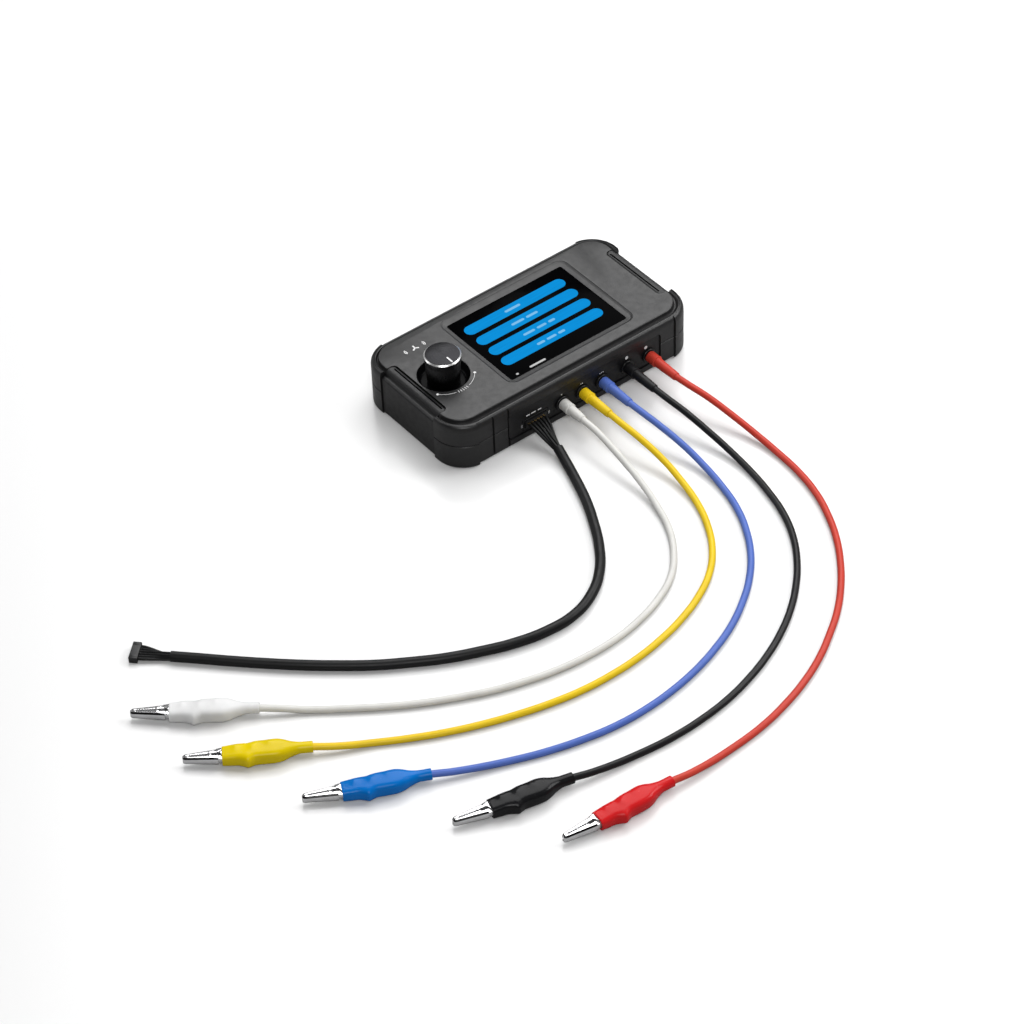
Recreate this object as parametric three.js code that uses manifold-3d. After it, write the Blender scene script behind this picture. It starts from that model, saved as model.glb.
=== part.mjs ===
// Handheld component meter with a colour screen, a push-and-turn knob, five colour-coded
// clip leads and a flat-plug sensor cable.
// Millimetres. Origin: bottom centre of the case. +X along the case, away from the knob.
// +Z up. The sockets are on the -Y wall.
import * as THREE from 'three';
import { mergeVertices } from 'three/addons/utils/BufferGeometryUtils.js';
import Module from 'manifold-3d';

const wasm = await Module();
wasm.setup();

// ---- Driving dimensions -------------------------------------------------------------
const GAP = 0.3; // between touching pieces

const GUARD = { x: 119.6, y: 63.4, r: 13.0, fromX: 49.0, fromY: 16.9 }; // proud corners
const WALL = { x: 118.4, y: 62.2, r: 12.4 }; // outline of the walls between the corners
const BASE_Z = 0.5; // underside of the case between its corners
const SPLIT_Z = 11.2; // where the two shells meet
const RIM_Z = 20.8; // crest of the shoulder round the top
const GROOVE_Z = 19.7; // floor of the groove inside the shoulder
const TOP_Z = 21.4; // top face
const PLATEAU = { x: 112.4, y: 54.2, r: 8.6, cy: 0.8 }; // its far edge runs closer to the rim
const GROOVE = { x: 115.8, y: 57.8, r: 11.0 };
const CAVITY = { x: 110.8, y: 57.0, r: 9.6, floor: 3.3, low: 17.8, high: 19.2 };
const HIGH_CAVITY = { x: 103.0, y: 49.0, r: 6.0 };

const SCREEN = { cx: 5.4, cy: 1.3, x: 58.0, y: 43.0, r: 0.8, top: 20.6, bottom: 19.2 };
const SURROUND = 1.5; // width of the slope round the screen
const LCD = { x: 69.0, y: 45.4, z0: 15.0, z1: 18.9 };
const PCB = { x: 108.0, y: 52.0, r: 2.0, z0: 3.5, z1: 5.0 };

const PANEL = { x0: -34.0, x1: 41.3, z0: 4.0, z1: 16.2, thick: 1.6, recess: 0.45 };
const WALL_GROOVES = [-41.7, -34.3]; // upright grooves beside the socket panel

const END = { halfY: 16.6, x0: 52.7, inner: 57.0, slotX: 53.7, slotWidth: 0.7, slotHalf: 15.2 };

const SCREW = { x: 50.4, y: 22.4, head: 2.4, shank: 1.2, z0: 2.0, z1: 14.5 };
const BOSS_R = 3.3;

const KNOB = { x: -41.4, y: 0.3, r: 7.0, rim: 7.35, z0: 18.4, z1: 31.8 };
const WELL = { r: 10.3, floorR: 8.4, floor: 17.6, under: 16.2, bossR: 11.5 };
const SHAFT_R = 3.0;
const ENCODER = { side: 11.7, top: 12.0, bushR: 4.2, bushTop: 17.3 };

const JACK_Z = 8.6;
const JACK = {
  faceY: -31.4, flange: 0.4, flangeR: 3.1, bodyR: 2.5, boreR: 1.3, boreEnd: -20.2, backY: -19.0,
};
const PLUG = { tipY: -20.6, pinR: 1.0, barrelR: 2.4, barrelEnd: 4.6, neckR: 2.0, endR: 1.7 };
const LEAD_R = 1.35;
const LEAD_REST = LEAD_R + 0.05; // height of a lead's centre where it lies

const SOCKET = { x: -21.2, z: 7.6, y0: -30.9, y1: -23.0, w: 12.0, h: 4.6 };
const SOCKET_PLUG = { w: 10.2, h: 2.8, y0: -31.6, y1: -25.2 };
const SENSOR_R = 2.0;
const SENSOR_REST = SENSOR_R + 0.05;
const SENSOR_END = { x: -208.0, y: -31.0, angle: 132.5, w: 8.4, len: 3.2, h: 2.8 };

// Clip, in its own frame: x from the rear of the boot to the tip, y across, z up.
const CLIP = { tubeR: 2.1, axisZ: 3.1, boot: 32.2, tip: 46.2, pivotX: 31.0, pivotY: 1.1 };
const JAW = { z0: 1.35, z1: 4.85, innerZ0: 2.0, innerZ1: 4.2, sheet: 0.35 };
const RIVET_R = 0.6;
const SPRING = { wire: 0.17, r: 1.15, z0: 2.75, rise: 0.7, turns: 2 };

// Leads: socket position, plug length, the clip's place and heading, and the route between.
// Where a point gives no height, the lead lies flat.
const LEADS = [
  {
    name: 'white', jack: -8.0, plug: 12.0, color: 0xdcdad4, boot: 0xe8e8e6,
    clip: [-190.1, -84.2, 142.0],
    route: [
      [-8, -52, 8.3], [-8.4, -60, 7.4], [-9, -70, 5.6], [-10.1, -82, 3.3], [-12.7, -94, 1.8],
      [-17, -106], [-24, -117], [-33, -126], [-44, -132], [-56.5, -136], [-69.5, -138],
      [-82.5, -138], [-95.5, -136.5], [-108, -133.5], [-120, -129.5], [-132, -124],
      [-143.5, -118], [-154.5, -111], [-165, -103.5], [-175.5, -95.5],
    ],
  },
  {
    name: 'yellow', jack: 2.0, plug: 16.2, color: 0xecc21c, boot: 0xe6d20a,
    clip: [-186.4, -111.9, 146.3],
    route: [
      [2.2, -54, 8.3], [3, -64, 7.2], [3.8, -76.5, 4.8], [3, -89, 2.6], [0.3, -102],
      [-4.5, -113.5], [-11.5, -124.5], [-20.5, -133.5], [-31.5, -140.3], [-43.5, -145.2],
      [-56, -148.5], [-69, -150.5], [-82, -151], [-95, -150.2], [-107.5, -148], [-120, -144.7],
      [-132.5, -140.5], [-144.5, -135.5], [-156, -129.7], [-167, -123.3],
    ],
  },
  {
    name: 'blue', jack: 11.9, plug: 16.2, color: 0x5468d0, boot: 0x0a78d8,
    clip: [-162.0, -149.2, 153.2],
    route: [
      [12.3, -54, 8.3], [13.4, -64, 7.2], [14.8, -76, 4.9], [15, -88.5, 2.6], [13.4, -101.5],
      [10, -113.7], [4.5, -125.5], [-2.5, -136], [-11.5, -145.5], [-21.8, -153.4],
      [-33, -160], [-45, -165], [-57, -168.6], [-70, -171], [-83, -172], [-96, -171.5],
      [-108.5, -169.4], [-121.5, -166], [-133.5, -161.7],
    ],
  },
  {
    name: 'black', jack: 24.6, plug: 16.2, color: 0x1c1c1e, boot: 0x1a1a1c,
    clip: [-124.9, -182.3, 165.5],
    route: [
      [24.9, -54, 8.3], [26, -64, 7.2], [27.3, -76.5, 4.8], [28, -89, 2.6], [27.3, -102],
      [25, -114.5], [21.5, -127], [16, -138.8], [8.5, -149.5], [-0.3, -158.9], [-10, -167],
      [-21, -174], [-32.5, -179.6], [-45, -184], [-57.5, -187], [-70.5, -188.5],
      [-83.5, -188.7], [-96.5, -187.5],
    ],
  },
  {
    name: 'red', jack: 35.6, plug: 16.2, color: 0xd83c2c, boot: 0xea2024,
    clip: [-99.2, -205.7, 174.2],
    route: [
      [36.4, -54, 8.3], [38.2, -63, 7.3], [40.2, -75, 5.1], [41.8, -87.5, 2.7], [42.2, -100.5],
      [41.2, -113], [38.5, -126], [34, -138], [28, -149.5], [20.5, -160.2], [12, -169.9],
      [2.5, -178.6], [-8, -186], [-19, -192.6], [-31, -198], [-43.5, -202], [-56, -204.7],
      [-69, -206],
    ],
  },
];
const SENSOR_ROUTE = [
  [-21.4, -39, 6.3], [-22.2, -46, 3.6], [-24, -53.5], [-27, -62.5], [-31.3, -74],
  [-36.8, -85.5], [-43.5, -97], [-51.5, -107], [-61.5, -114.7], [-73, -119], [-86, -119.2],
  [-99, -116.5], [-111, -112], [-123, -106.5], [-134, -100], [-145, -92.7], [-155, -84.7],
  [-165, -76], [-174.5, -67], [-183.5, -58], [-192.3, -48.8], [-199.4, -41.5],
];

// ---- Materials ----------------------------------------------------------------------
const matt = (color, roughness = 0.6, metalness = 0) =>
  new THREE.MeshStandardMaterial({ color, roughness, metalness });

const CASE_BLACK = matt(0x343435, 0.55);
const RUBBER_BLACK = matt(0x262627, 0.7);
const GLOSS_BLACK = matt(0x0a0a0b, 0.15);
const KNOB_METAL = matt(0x2c2c2e, 0.35, 0.8);
const STEEL = matt(0xc8c8ca, 0.3, 1);
const BOARD_GREEN = matt(0x1f5a34, 0.5);
const PANEL_GREY = matt(0x8a8c90, 0.5);

// ---- Shape helpers ------------------------------------------------------------------
const root = new THREE.Group();

/** Turns a closed geometry into a solid, whichever way its faces run. */
function solid(geometry) {
  const bare = geometry.clone();
  bare.deleteAttribute('normal');
  bare.deleteAttribute('uv');
  const merged = mergeVertices(bare, 1e-4);
  const vertProperties = new Float32Array(merged.attributes.position.array);
  const triVerts = new Uint32Array(merged.index.array);
  if (signedVolume(vertProperties, triVerts) < 0) {
    for (let i = 0; i < triVerts.length; i += 3) {
      const first = triVerts[i];
      triVerts[i] = triVerts[i + 1];
      triVerts[i + 1] = first;
    }
  }
  return new wasm.Manifold(new wasm.Mesh({ numProp: 3, vertProperties, triVerts }));
}

function signedVolume(positions, triangles) {
  const a = new THREE.Vector3();
  const b = new THREE.Vector3();
  const c = new THREE.Vector3();
  let volume = 0;
  for (let i = 0; i < triangles.length; i += 3) {
    a.fromArray(positions, triangles[i] * 3);
    b.fromArray(positions, triangles[i + 1] * 3);
    c.fromArray(positions, triangles[i + 2] * 3);
    volume += a.dot(b.cross(c)) / 6;
  }
  return volume;
}

function toGeometry(body) {
  const mesh = body.getMesh();
  const geometry = new THREE.BufferGeometry();
  geometry.setAttribute('position', new THREE.BufferAttribute(mesh.vertProperties, 3));
  geometry.setIndex(new THREE.BufferAttribute(mesh.triVerts, 1));
  return geometry;
}

function addPart(name, body, material, parent = root) {
  const mesh = new THREE.Mesh(toGeometry(body), material);
  mesh.name = name;
  parent.add(mesh);
  return mesh;
}

const joined = (...bodies) => bodies.reduce((sum, body) => sum.add(body));
const minus = (body, ...cuts) => cuts.reduce((rest, cut) => rest.subtract(cut), body);

function outline(points) {
  return new THREE.Shape(points.map(([x, y]) => new THREE.Vector2(x, y)));
}

function roundedRect(x, y, r, cx = 0, cy = 0) {
  const shape = new THREE.Shape();
  const dx = x / 2 - r;
  const dy = y / 2 - r;
  shape.absarc(cx + dx, cy - dy, r, -Math.PI / 2, 0);
  shape.absarc(cx + dx, cy + dy, r, 0, Math.PI / 2);
  shape.absarc(cx - dx, cy + dy, r, Math.PI / 2, Math.PI);
  shape.absarc(cx - dx, cy - dy, r, Math.PI, Math.PI * 1.5);
  shape.closePath();
  return shape;
}

function slab(shape, z0, z1, curveSegments = 5) {
  const geometry = new THREE.ExtrudeGeometry(shape, {
    depth: z1 - z0, bevelEnabled: false, curveSegments,
  });
  return solid(geometry.translate(0, 0, z0));
}

/** A slab with rounded edges; the shape given is its widest outline. */
function softSlab(shape, z0, z1, edge, bevelSegments = 2, curveSegments = 5) {
  const geometry = new THREE.ExtrudeGeometry(shape, {
    depth: z1 - z0 - 2 * edge, bevelEnabled: true, bevelThickness: edge, bevelSize: edge,
    bevelOffset: -edge, bevelSegments, curveSegments,
  });
  return solid(geometry.translate(0, 0, z0 + edge));
}

function box(x0, x1, y0, y1, z0, z1) {
  const geometry = new THREE.BoxGeometry(x1 - x0, y1 - y0, z1 - z0);
  return solid(geometry.translate((x0 + x1) / 2, (y0 + y1) / 2, (z0 + z1) / 2));
}

/** A turned solid about the upright line through (x, y). The profile is [radius, z]. */
function turned(profile, x = 0, y = 0, segments = 24) {
  const points = profile.map(([r, z]) => new THREE.Vector2(r, z));
  const geometry = new THREE.LatheGeometry(points, segments);
  return solid(geometry.rotateX(Math.PI / 2).translate(x, y, 0));
}

/** A turned solid about a line along Y. The profile is [radius, y]. */
function turnedAlongY(profile, x, z, segments = 12) {
  const points = profile.map(([r, y]) => new THREE.Vector2(r, y));
  const geometry = new THREE.LatheGeometry(points, segments);
  return solid(geometry.translate(x, 0, z));
}

const post = (r, z0, z1, x, y, segments = 12) =>
  turned([[0, z0], [r, z0], [r, z1], [0, z1]], x, y, segments);

/** A round tube along a smooth line through the points. */
function tube(points, radius, sides, steps) {
  const section = new THREE.Shape();
  for (let i = 0; i < sides; i += 1) {
    const angle = (2 * Math.PI * i) / sides;
    const x = radius * Math.cos(angle);
    const y = radius * Math.sin(angle);
    if (i === 0) section.moveTo(x, y);
    else section.lineTo(x, y);
  }
  const extrudePath = new THREE.CatmullRomCurve3(points, false, 'centripetal');
  return solid(new THREE.ExtrudeGeometry(section, { steps, extrudePath, bevelEnabled: false }));
}

// ---- Case ---------------------------------------------------------------------------
const fourCorners = (x, y) => [[x, y], [-x, y], [-x, -y], [x, -y]];

function cornerGuards() {
  const whole = softSlab(roundedRect(GUARD.x, GUARD.y, GUARD.r), 0, RIM_Z, 1.0);
  const far = 70;
  const zones = fourCorners(1, 1).map(([sx, sy]) => {
    const x = [sx * GUARD.fromX, sx * far].sort((a, b) => a - b);
    const y = [sy * GUARD.fromY, sy * far].sort((a, b) => a - b);
    return whole.intersect(box(...x, ...y, -1, RIM_Z + 1));
  });
  return joined(...zones);
}

function caseBlock() {
  const walls = softSlab(roundedRect(WALL.x, WALL.y, WALL.r), BASE_Z, RIM_Z, 1.0);
  const top = roundedRect(PLATEAU.x, PLATEAU.y, PLATEAU.r, 0, PLATEAU.cy);
  const ring = minus(
    slab(roundedRect(GROOVE.x, GROOVE.y, GROOVE.r), GROOVE_Z, TOP_Z + 1),
    slab(top, GROOVE_Z - 1, TOP_Z + 2),
  );
  const plateau = softSlab(top, 18, TOP_Z, 0.4, 1);
  return minus(joined(walls, cornerGuards(), plateau), ring);
}

function caseCavity() {
  return joined(
    slab(roundedRect(CAVITY.x, CAVITY.y, CAVITY.r), CAVITY.floor, CAVITY.low, 4),
    slab(roundedRect(HIGH_CAVITY.x, HIGH_CAVITY.y, HIGH_CAVITY.r), 16, CAVITY.high, 4),
  );
}

/** What both shells lose: the end panels' beds, the socket panel's opening, the grooves. */
function shellCuts() {
  const beds = [-1, 1].flatMap((side) => {
    const wall = [side * (END.inner - GAP), side * 70].sort((a, b) => a - b);
    const top = [side * (END.x0 - GAP), side * 70].sort((a, b) => a - b);
    const halfY = END.halfY + GAP;
    return [
      box(...wall, -halfY, halfY, -1, TOP_Z + 1),
      box(...top, -halfY, halfY, GROOVE_Z - 0.1, TOP_Z + 1),
    ];
  });
  const opening = box(PANEL.x0 - GAP, PANEL.x1 + GAP, -40, -28, PANEL.z0 - GAP, PANEL.z1 + GAP);
  const grooves = WALL_GROOVES.map((x) => box(x - 0.25, x + 0.25, -40, -30.6, 0, RIM_Z + 1));
  return joined(...beds, opening, ...grooves);
}

function wellBowl() {
  return turned([
    [0, WELL.floor], [WELL.floorR, WELL.floor], [9.5, WELL.floor + 0.9],
    [WELL.r - 0.3, WELL.floor + 2.4], [WELL.r, TOP_Z - 0.3], [WELL.r + 0.2, TOP_Z + 0.1],
    [WELL.r + 0.2, TOP_Z + 2], [0, TOP_Z + 2],
  ], KNOB.x, KNOB.y, 28);
}

function screenOpening() {
  const { cx, cy, x, y, r, top } = SCREEN;
  const depth = TOP_Z - top;
  const geometry = new THREE.ExtrudeGeometry(roundedRect(x + 2 * GAP, y + 2 * GAP, r, cx, cy), {
    depth: 2, bevelEnabled: true, bevelThickness: depth, bevelSize: SURROUND,
    bevelSegments: 1, curveSegments: 4,
  });
  const slope = solid(geometry.translate(0, 0, top + depth));
  const window = slab(roundedRect(x + 2 * GAP, y + 2 * GAP, r, cx, cy), 17, TOP_Z, 4);
  return joined(slope, window);
}

const upper = (body) => body.intersect(box(-70, 70, -40, 40, SPLIT_Z + GAP / 2, TOP_Z + 5));
const lower = (body) => body.intersect(box(-70, 70, -40, 40, -1, SPLIT_Z - GAP / 2));

function topCover(block, cavity, cuts) {
  const bosses = fourCorners(SCREW.x, SCREW.y).map(([x, y]) => post(BOSS_R, 10, 18.5, x, y));
  const holes = fourCorners(SCREW.x, SCREW.y).map(([x, y]) =>
    post(SCREW.shank + GAP, 9, SCREW.z1 + 1, x, y, 8));
  const wellBoss = post(WELL.bossR, WELL.under, 20, KNOB.x, KNOB.y, 20);
  const bushHole = post(ENCODER.bushR + 0.4, 15, 19, KNOB.x, KNOB.y, 16);
  const hollow = minus(block, cavity);
  const shell = minus(joined(hollow, wellBoss, ...bosses), wellBowl(), bushHole, screenOpening());
  return upper(minus(shell, cuts, ...holes));
}

function bottomCover(block, cavity, cuts) {
  const corners = fourCorners(SCREW.x, SCREW.y);
  const bosses = corners.map(([x, y]) => post(BOSS_R, 1.5, 12, x, y));
  const pads = fourCorners(44, 18).map(([x, y]) => post(2.0, 3.0, PCB.z0 - GAP, x, y, 12));
  const wells = corners.map(([x, y]) => turned([
    [0, -1], [SCREW.head + 0.5, -1], [SCREW.head + 0.5, SCREW.z0 + 2.3],
    [SCREW.shank + GAP, SCREW.z0 + 2.3], [SCREW.shank + GAP, 14], [0, 14],
  ], x, y, 10));
  return lower(minus(joined(minus(block, cavity), ...bosses, ...pads), cuts, ...wells));
}

function buildCase() {
  const block = caseBlock();
  const cavity = caseCavity();
  const cuts = shellCuts();
  addPart('top_cover', topCover(block, cavity, cuts), CASE_BLACK);
  addPart('bottom_cover', bottomCover(block, cavity, cuts), CASE_BLACK);
}

/** The strip over each short end: a slotted bar on top, then down the wall. */
function endPanel(side) {
  const outer = WALL.x / 2;
  const profile = [
    [END.x0, GROOVE_Z + 0.2], [END.x0, 20.7], [53.3, 21.1], [55.8, TOP_Z - 0.2], [56.4, 20.9],
    [56.9, 20.5], [57.5, 19.1], [57.9, 18.6], [58.4, 18.6], [58.9, 18.2], [outer, 17.4],
    [outer, 1.1], [outer - 0.6, BASE_Z], [END.inner, BASE_Z], [END.inner, GROOVE_Z + 0.2],
  ];
  const section = outline(profile.map(([x, z]) => [side * x, z]));
  const geometry = new THREE.ExtrudeGeometry(section, { depth: 2 * END.halfY, bevelEnabled: false });
  const strip = solid(geometry.rotateX(Math.PI / 2).translate(0, END.halfY, 0));
  const slot = [side * END.slotX, side * (END.slotX + END.slotWidth)].sort((a, b) => a - b);
  return minus(strip, box(...slot, -END.slotHalf, END.slotHalf, GROOVE_Z + 0.5, TOP_Z + 1));
}

function socketPanel() {
  const front = -WALL.y / 2 + PANEL.recess;
  const plate = box(PANEL.x0, PANEL.x1, front, front + PANEL.thick, PANEL.z0, PANEL.z1);
  const holes = LEADS.map(({ jack }) => turnedAlongY(
    [[0, front - 1], [JACK.bodyR + GAP, front - 1], [JACK.bodyR + GAP, -25], [0, -25]],
    jack, JACK_Z, 14));
  const { x, z, w, h } = SOCKET;
  const window = box(x - w / 2 - GAP, x + w / 2 + GAP, -40, -25, z - h / 2 - GAP, z + h / 2 + GAP);
  return minus(plate, ...holes, window);
}

function caseScrew(x, y) {
  const { head, shank, z0, z1 } = SCREW;
  const body = turned([
    [0, z0], [head, z0], [head, z0 + 1.9], [shank, z0 + 2.0], [shank, z1], [0, z1],
  ], x, y, 12);
  const cross = joined(
    box(x - 1.4, x + 1.4, y - 0.3, y + 0.3, z0 - 1, z0 + 1.1),
    box(x - 0.3, x + 0.3, y - 1.4, y + 1.4, z0 - 1, z0 + 1.1),
  );
  return minus(body, cross);
}

function buildTrim() {
  addPart('end_panel_left', endPanel(-1), RUBBER_BLACK);
  addPart('end_panel_right', endPanel(1), RUBBER_BLACK);
  addPart('socket_panel', socketPanel(), RUBBER_BLACK);
  fourCorners(SCREW.x, SCREW.y).forEach(([x, y], i) => {
    addPart(`case_screw_${i + 1}`, caseScrew(x, y), STEEL);
  });
}

// ---- Screen and circuit board ---------------------------------------------------------
function buildScreen() {
  const { cx, cy, x, y, r, top, bottom } = SCREEN;
  addPart('screen_lens', softSlab(roundedRect(x, y, r, cx, cy), bottom, top, 0.2, 1, 2), GLOSS_BLACK);
  addPart('lcd_module', slab(roundedRect(LCD.x, LCD.y, 1, cx, cy), LCD.z0, LCD.z1, 2), PANEL_GREY);
}

function buildBoard() {
  const board = slab(roundedRect(PCB.x, PCB.y, PCB.r), PCB.z0, PCB.z1, 3);
  const notches = fourCorners(SCREW.x, SCREW.y).map(([x, y]) =>
    post(BOSS_R + 0.5, 0, 8, x, y, 16));
  const corners = fourCorners(1, 1).map(([sx, sy]) => {
    const bx = [sx * SCREW.x, sx * 60].sort((a, b) => a - b);
    const by = [sy * (SCREW.y - BOSS_R - 0.5), sy * 40].sort((a, b) => a - b);
    return box(...bx, ...by, 0, 8);
  });
  addPart('main_board', minus(board, ...notches, ...corners), BOARD_GREEN);
}

// ---- Knob and rotary encoder ----------------------------------------------------------
function shaftSection(radius, z0, z1, flatY) {
  const round = post(radius, z0, z1, KNOB.x, KNOB.y, 16);
  return minus(round, box(KNOB.x - 5, KNOB.x + 5, KNOB.y + flatY, KNOB.y + 6, 19, z1 + 1));
}

function knobBody() {
  const { x, y, r, rim, z0, z1 } = KNOB;
  const shell = turned([
    [0, z0], [r - 0.6, z0], [r - 0.4, z0 + 0.4], [r, z1 - 2.4], [rim, z1 - 2.0],
    [rim, z1 - 0.6], [rim - 0.6, z1], [0, z1],
  ], x, y, 32);
  const bore = shaftSection(SHAFT_R + GAP, z0 - 1, z1 - 2.6, 2.3 + GAP);
  const openBore = joined(bore, post(ENCODER.bushR + 0.5, z0 - 1, z0 + 0.6, x, y, 16));
  const index = box(x - 0.35, x + 0.35, y - 6.4, y - 2.8, z1 - 0.25, z1 + 1);
  return minus(shell, openBore, index);
}

function encoderBody() {
  const half = ENCODER.side / 2;
  const { x, y } = KNOB;
  const can = box(x - half, x + half, y - half, y + half, PCB.z1 + GAP, ENCODER.top);
  const bush = post(ENCODER.bushR, ENCODER.top - 1, ENCODER.bushTop, x, y, 16);
  const bore = post(SHAFT_R + GAP, PCB.z1 + 1.0, ENCODER.bushTop + 1, x, y, 16);
  return minus(joined(can, bush), bore);
}

function buildKnob() {
  addPart('encoder_body', encoderBody(), STEEL);
  addPart('switch_plunger', post(SHAFT_R - 0.3, 6.7, 8.2, KNOB.x, KNOB.y), matt(0xe0e0dc));
  addPart('encoder_shaft', shaftSection(SHAFT_R, 8.5, KNOB.z1 - 3.0, 2.3), STEEL);
  addPart('knob', knobBody(), KNOB_METAL);
}

// ---- Sockets --------------------------------------------------------------------------
function jackBody(x) {
  const { faceY, flange, flangeR, bodyR, boreR, boreEnd, backY } = JACK;
  const shoulder = faceY + flange; // the flange stands on the panel's face
  return turnedAlongY([
    [boreR, faceY], [flangeR - 0.3, faceY], [flangeR, faceY + 0.2], [flangeR, shoulder],
    [bodyR, shoulder], [bodyR, backY], [0, backY], [0, boreEnd], [boreR, boreEnd],
    [boreR, faceY],
  ], x, JACK_Z, 14);
}

function sensorSocket() {
  const { x, z, y0, y1, w, h } = SOCKET;
  const body = box(x - w / 2, x + w / 2, y0, y1, z - h / 2, z + h / 2);
  const halfW = SOCKET_PLUG.w / 2 + GAP;
  const halfH = SOCKET_PLUG.h / 2 + GAP;
  const mouth = box(x - halfW, x + halfW, y0 - 1, SOCKET_PLUG.y1 + GAP, z - halfH, z + halfH);
  return minus(body, mouth);
}

function buildSockets() {
  LEADS.forEach(({ name, jack }) => {
    addPart(`jack_${name}`, jackBody(jack), RUBBER_BLACK);
  });
  addPart('sensor_socket', sensorSocket(), GLOSS_BLACK);
}

// ---- Clip leads -----------------------------------------------------------------------
function leadPlug(x, length) {
  const back = JACK.faceY - GAP;
  const { tipY, pinR, barrelR, barrelEnd, neckR, endR } = PLUG;
  return turnedAlongY([
    [0, tipY], [pinR, tipY - 0.4], [pinR, back], [barrelR, back],
    [barrelR, back - barrelEnd + 0.2], [barrelR - 0.2, back - barrelEnd],
    [neckR, back - barrelEnd], [endR, back - length], [0, back - length],
  ], x, JACK_Z);
}

/** A plan outline and a side outline meet in one body, as a clip's boot does. */
function twoWay(plan, side) {
  const across = slab(outline(plan), -1, 8);
  const geometry = new THREE.ExtrudeGeometry(outline(side), { depth: 20, bevelEnabled: false });
  const along = solid(geometry.rotateX(Math.PI / 2).translate(0, 10, 0));
  return across.intersect(along);
}

function bootBody() {
  const { tubeR, axisZ, boot } = CLIP;
  const outer = twoWay([
    [4.6, 2.1], [7, 2.6], [10, 4.1], [12.5, 4.9], [16, 5.2], [20.5, 5.3], [22.8, 5.9],
    [24.6, 5.8], [26.5, 5.1], [boot, 4.5], [boot, -2.5], [24, -3.0], [16, -3.3],
    [13, -3.6], [10.5, -3.3], [7.5, -2.4], [4.6, -2.1],
  ], [
    [4.6, 1.0], [8, 0.5], [12, 0], [24, 0], [27, 0.1], [boot, 0.5], [boot, 5.7],
    [26, 6.2], [20, 6.5], [12, 6.4], [8, 5.6], [4.6, 5.2],
  ]);
  const hollow = twoWay([
    [10, 2.4], [12.8, 4.1], [20.5, 4.6], [22.8, 5.3], [24.4, 5.2], [26.5, 4.6],
    [boot + 1, 4.0], [boot + 1, -2.0], [24, -2.45], [13, -3.0], [10, -2.3],
  ], [[10, 1.0], [boot + 1, 1.0], [boot + 1, 5.2], [10, 5.2]]);
  const ring = new THREE.CylinderGeometry(tubeR, tubeR, 6, 12);
  const tail = solid(ring.rotateZ(Math.PI / 2).translate(3, 0, axisZ));
  return minus(joined(outer, tail), hollow);
}

/** A folded sheet jaw: the outline less a copy that leaves the web and two flanges. */
function channel(plan, inside, z0, z1) {
  const body = slab(outline(plan), z0, z1);
  return minus(body, slab(outline(inside), z0 + JAW.sheet, z1 - JAW.sheet));
}

function teeth(from, to, y, height) {
  const points = [];
  const pitch = 1.5;
  for (let x = from; x < to - 0.1; x += pitch) {
    points.push([x, y], [x + pitch / 2, y + height]);
  }
  points.push([to, y]);
  return points;
}

const pivotHole = () =>
  post(RIVET_R + GAP, -1, 8, CLIP.pivotX, CLIP.pivotY, 8);

function fixedJaw() {
  const { tip, pivotX, pivotY } = CLIP;
  const meeting = pivotY - GAP / 2;
  const plan = [
    [12, -2.35], [24, -2.05], [pivotX, -1.55], [34, -1.35], [tip - 0.8, -0.1], [tip, 0.3],
    [tip, meeting], ...teeth(35, tip - 2.2, meeting - 0.35, 0.35).reverse(),
    [33.6, 0.2], [32.7, pivotY], [31.9, 2.4], [31.0, 2.8], [30.0, 2.4], [29.2, 1.0],
    [27.5, -0.5], [24, -0.9], [12.4, -1.2],
  ];
  const inside = [
    [11, -2.0], [24, -1.7], [pivotX, -1.2], [34, -1.0], [tip - 1.2, 0.15], [tip - 0.5, 0.6],
    [tip - 0.5, 5], [11, 5],
  ];
  return minus(channel(plan, inside, JAW.z0, JAW.z1), pivotHole());
}

function movingJaw() {
  const { tip, pivotX, pivotY } = CLIP;
  const meeting = pivotY + GAP / 2;
  const front = channel([
    [34.1, meeting + 0.1], ...teeth(35, tip - 2.2, meeting, 0.35), [tip, meeting],
    [tip, 1.9], [tip - 0.8, 2.3], [34.1, 3.4],
  ], [
    [33, meeting - 1], [tip - 0.5, meeting - 1], [tip - 0.5, 1.6], [tip - 1.2, 1.95],
    [34, 3.05], [33, 3.05],
  ], JAW.z0, JAW.z1);
  const rear = channel([
    [35.5, 3.27], [pivotX, 3.65], [26.5, 4.2], [22.8, 4.75], [22.4, 4.3], [24, 3.3],
    [27.5, 2.6], [29.3, 1.4], [29.6, 0.2], [pivotX, -0.5], [32.4, 0.3], [32.8, 1.4],
    [35.5, 1.6],
  ], [
    [36, 2.88], [pivotX, 3.3], [26.5, 3.85], [22.8, 4.35], [20, 4.4], [20, -2], [36, -2],
  ], JAW.innerZ0, JAW.innerZ1);
  return minus(joined(front, rear), pivotHole());
}

function clipSpring() {
  const { pivotX, pivotY } = CLIP;
  const { wire, r, z0, rise, turns } = SPRING;
  const points = [
    new THREE.Vector3(pivotX - 4.2, pivotY - r, z0),
    new THREE.Vector3(pivotX - 2.0, pivotY - r, z0),
  ];
  const steps = 8 * turns + 4;
  for (let i = 0; i <= steps; i += 1) {
    const angle = -Math.PI / 2 + (i * Math.PI) / 4;
    const z = z0 + (rise * i) / steps;
    points.push(new THREE.Vector3(
      pivotX + r * Math.cos(angle), pivotY + r * Math.sin(angle), z));
  }
  points.push(new THREE.Vector3(pivotX - 1.7, pivotY + r, z0 + rise));
  return tube(points, wire, 4, 32);
}

/** Places a clip's group, with its boot's rear end at the given point. */
function clipGroup([x, y, degrees]) {
  const group = new THREE.Group();
  group.position.set(x, y, 0);
  group.rotation.z = THREE.MathUtils.degToRad(degrees);
  root.add(group);
  return group;
}

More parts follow.
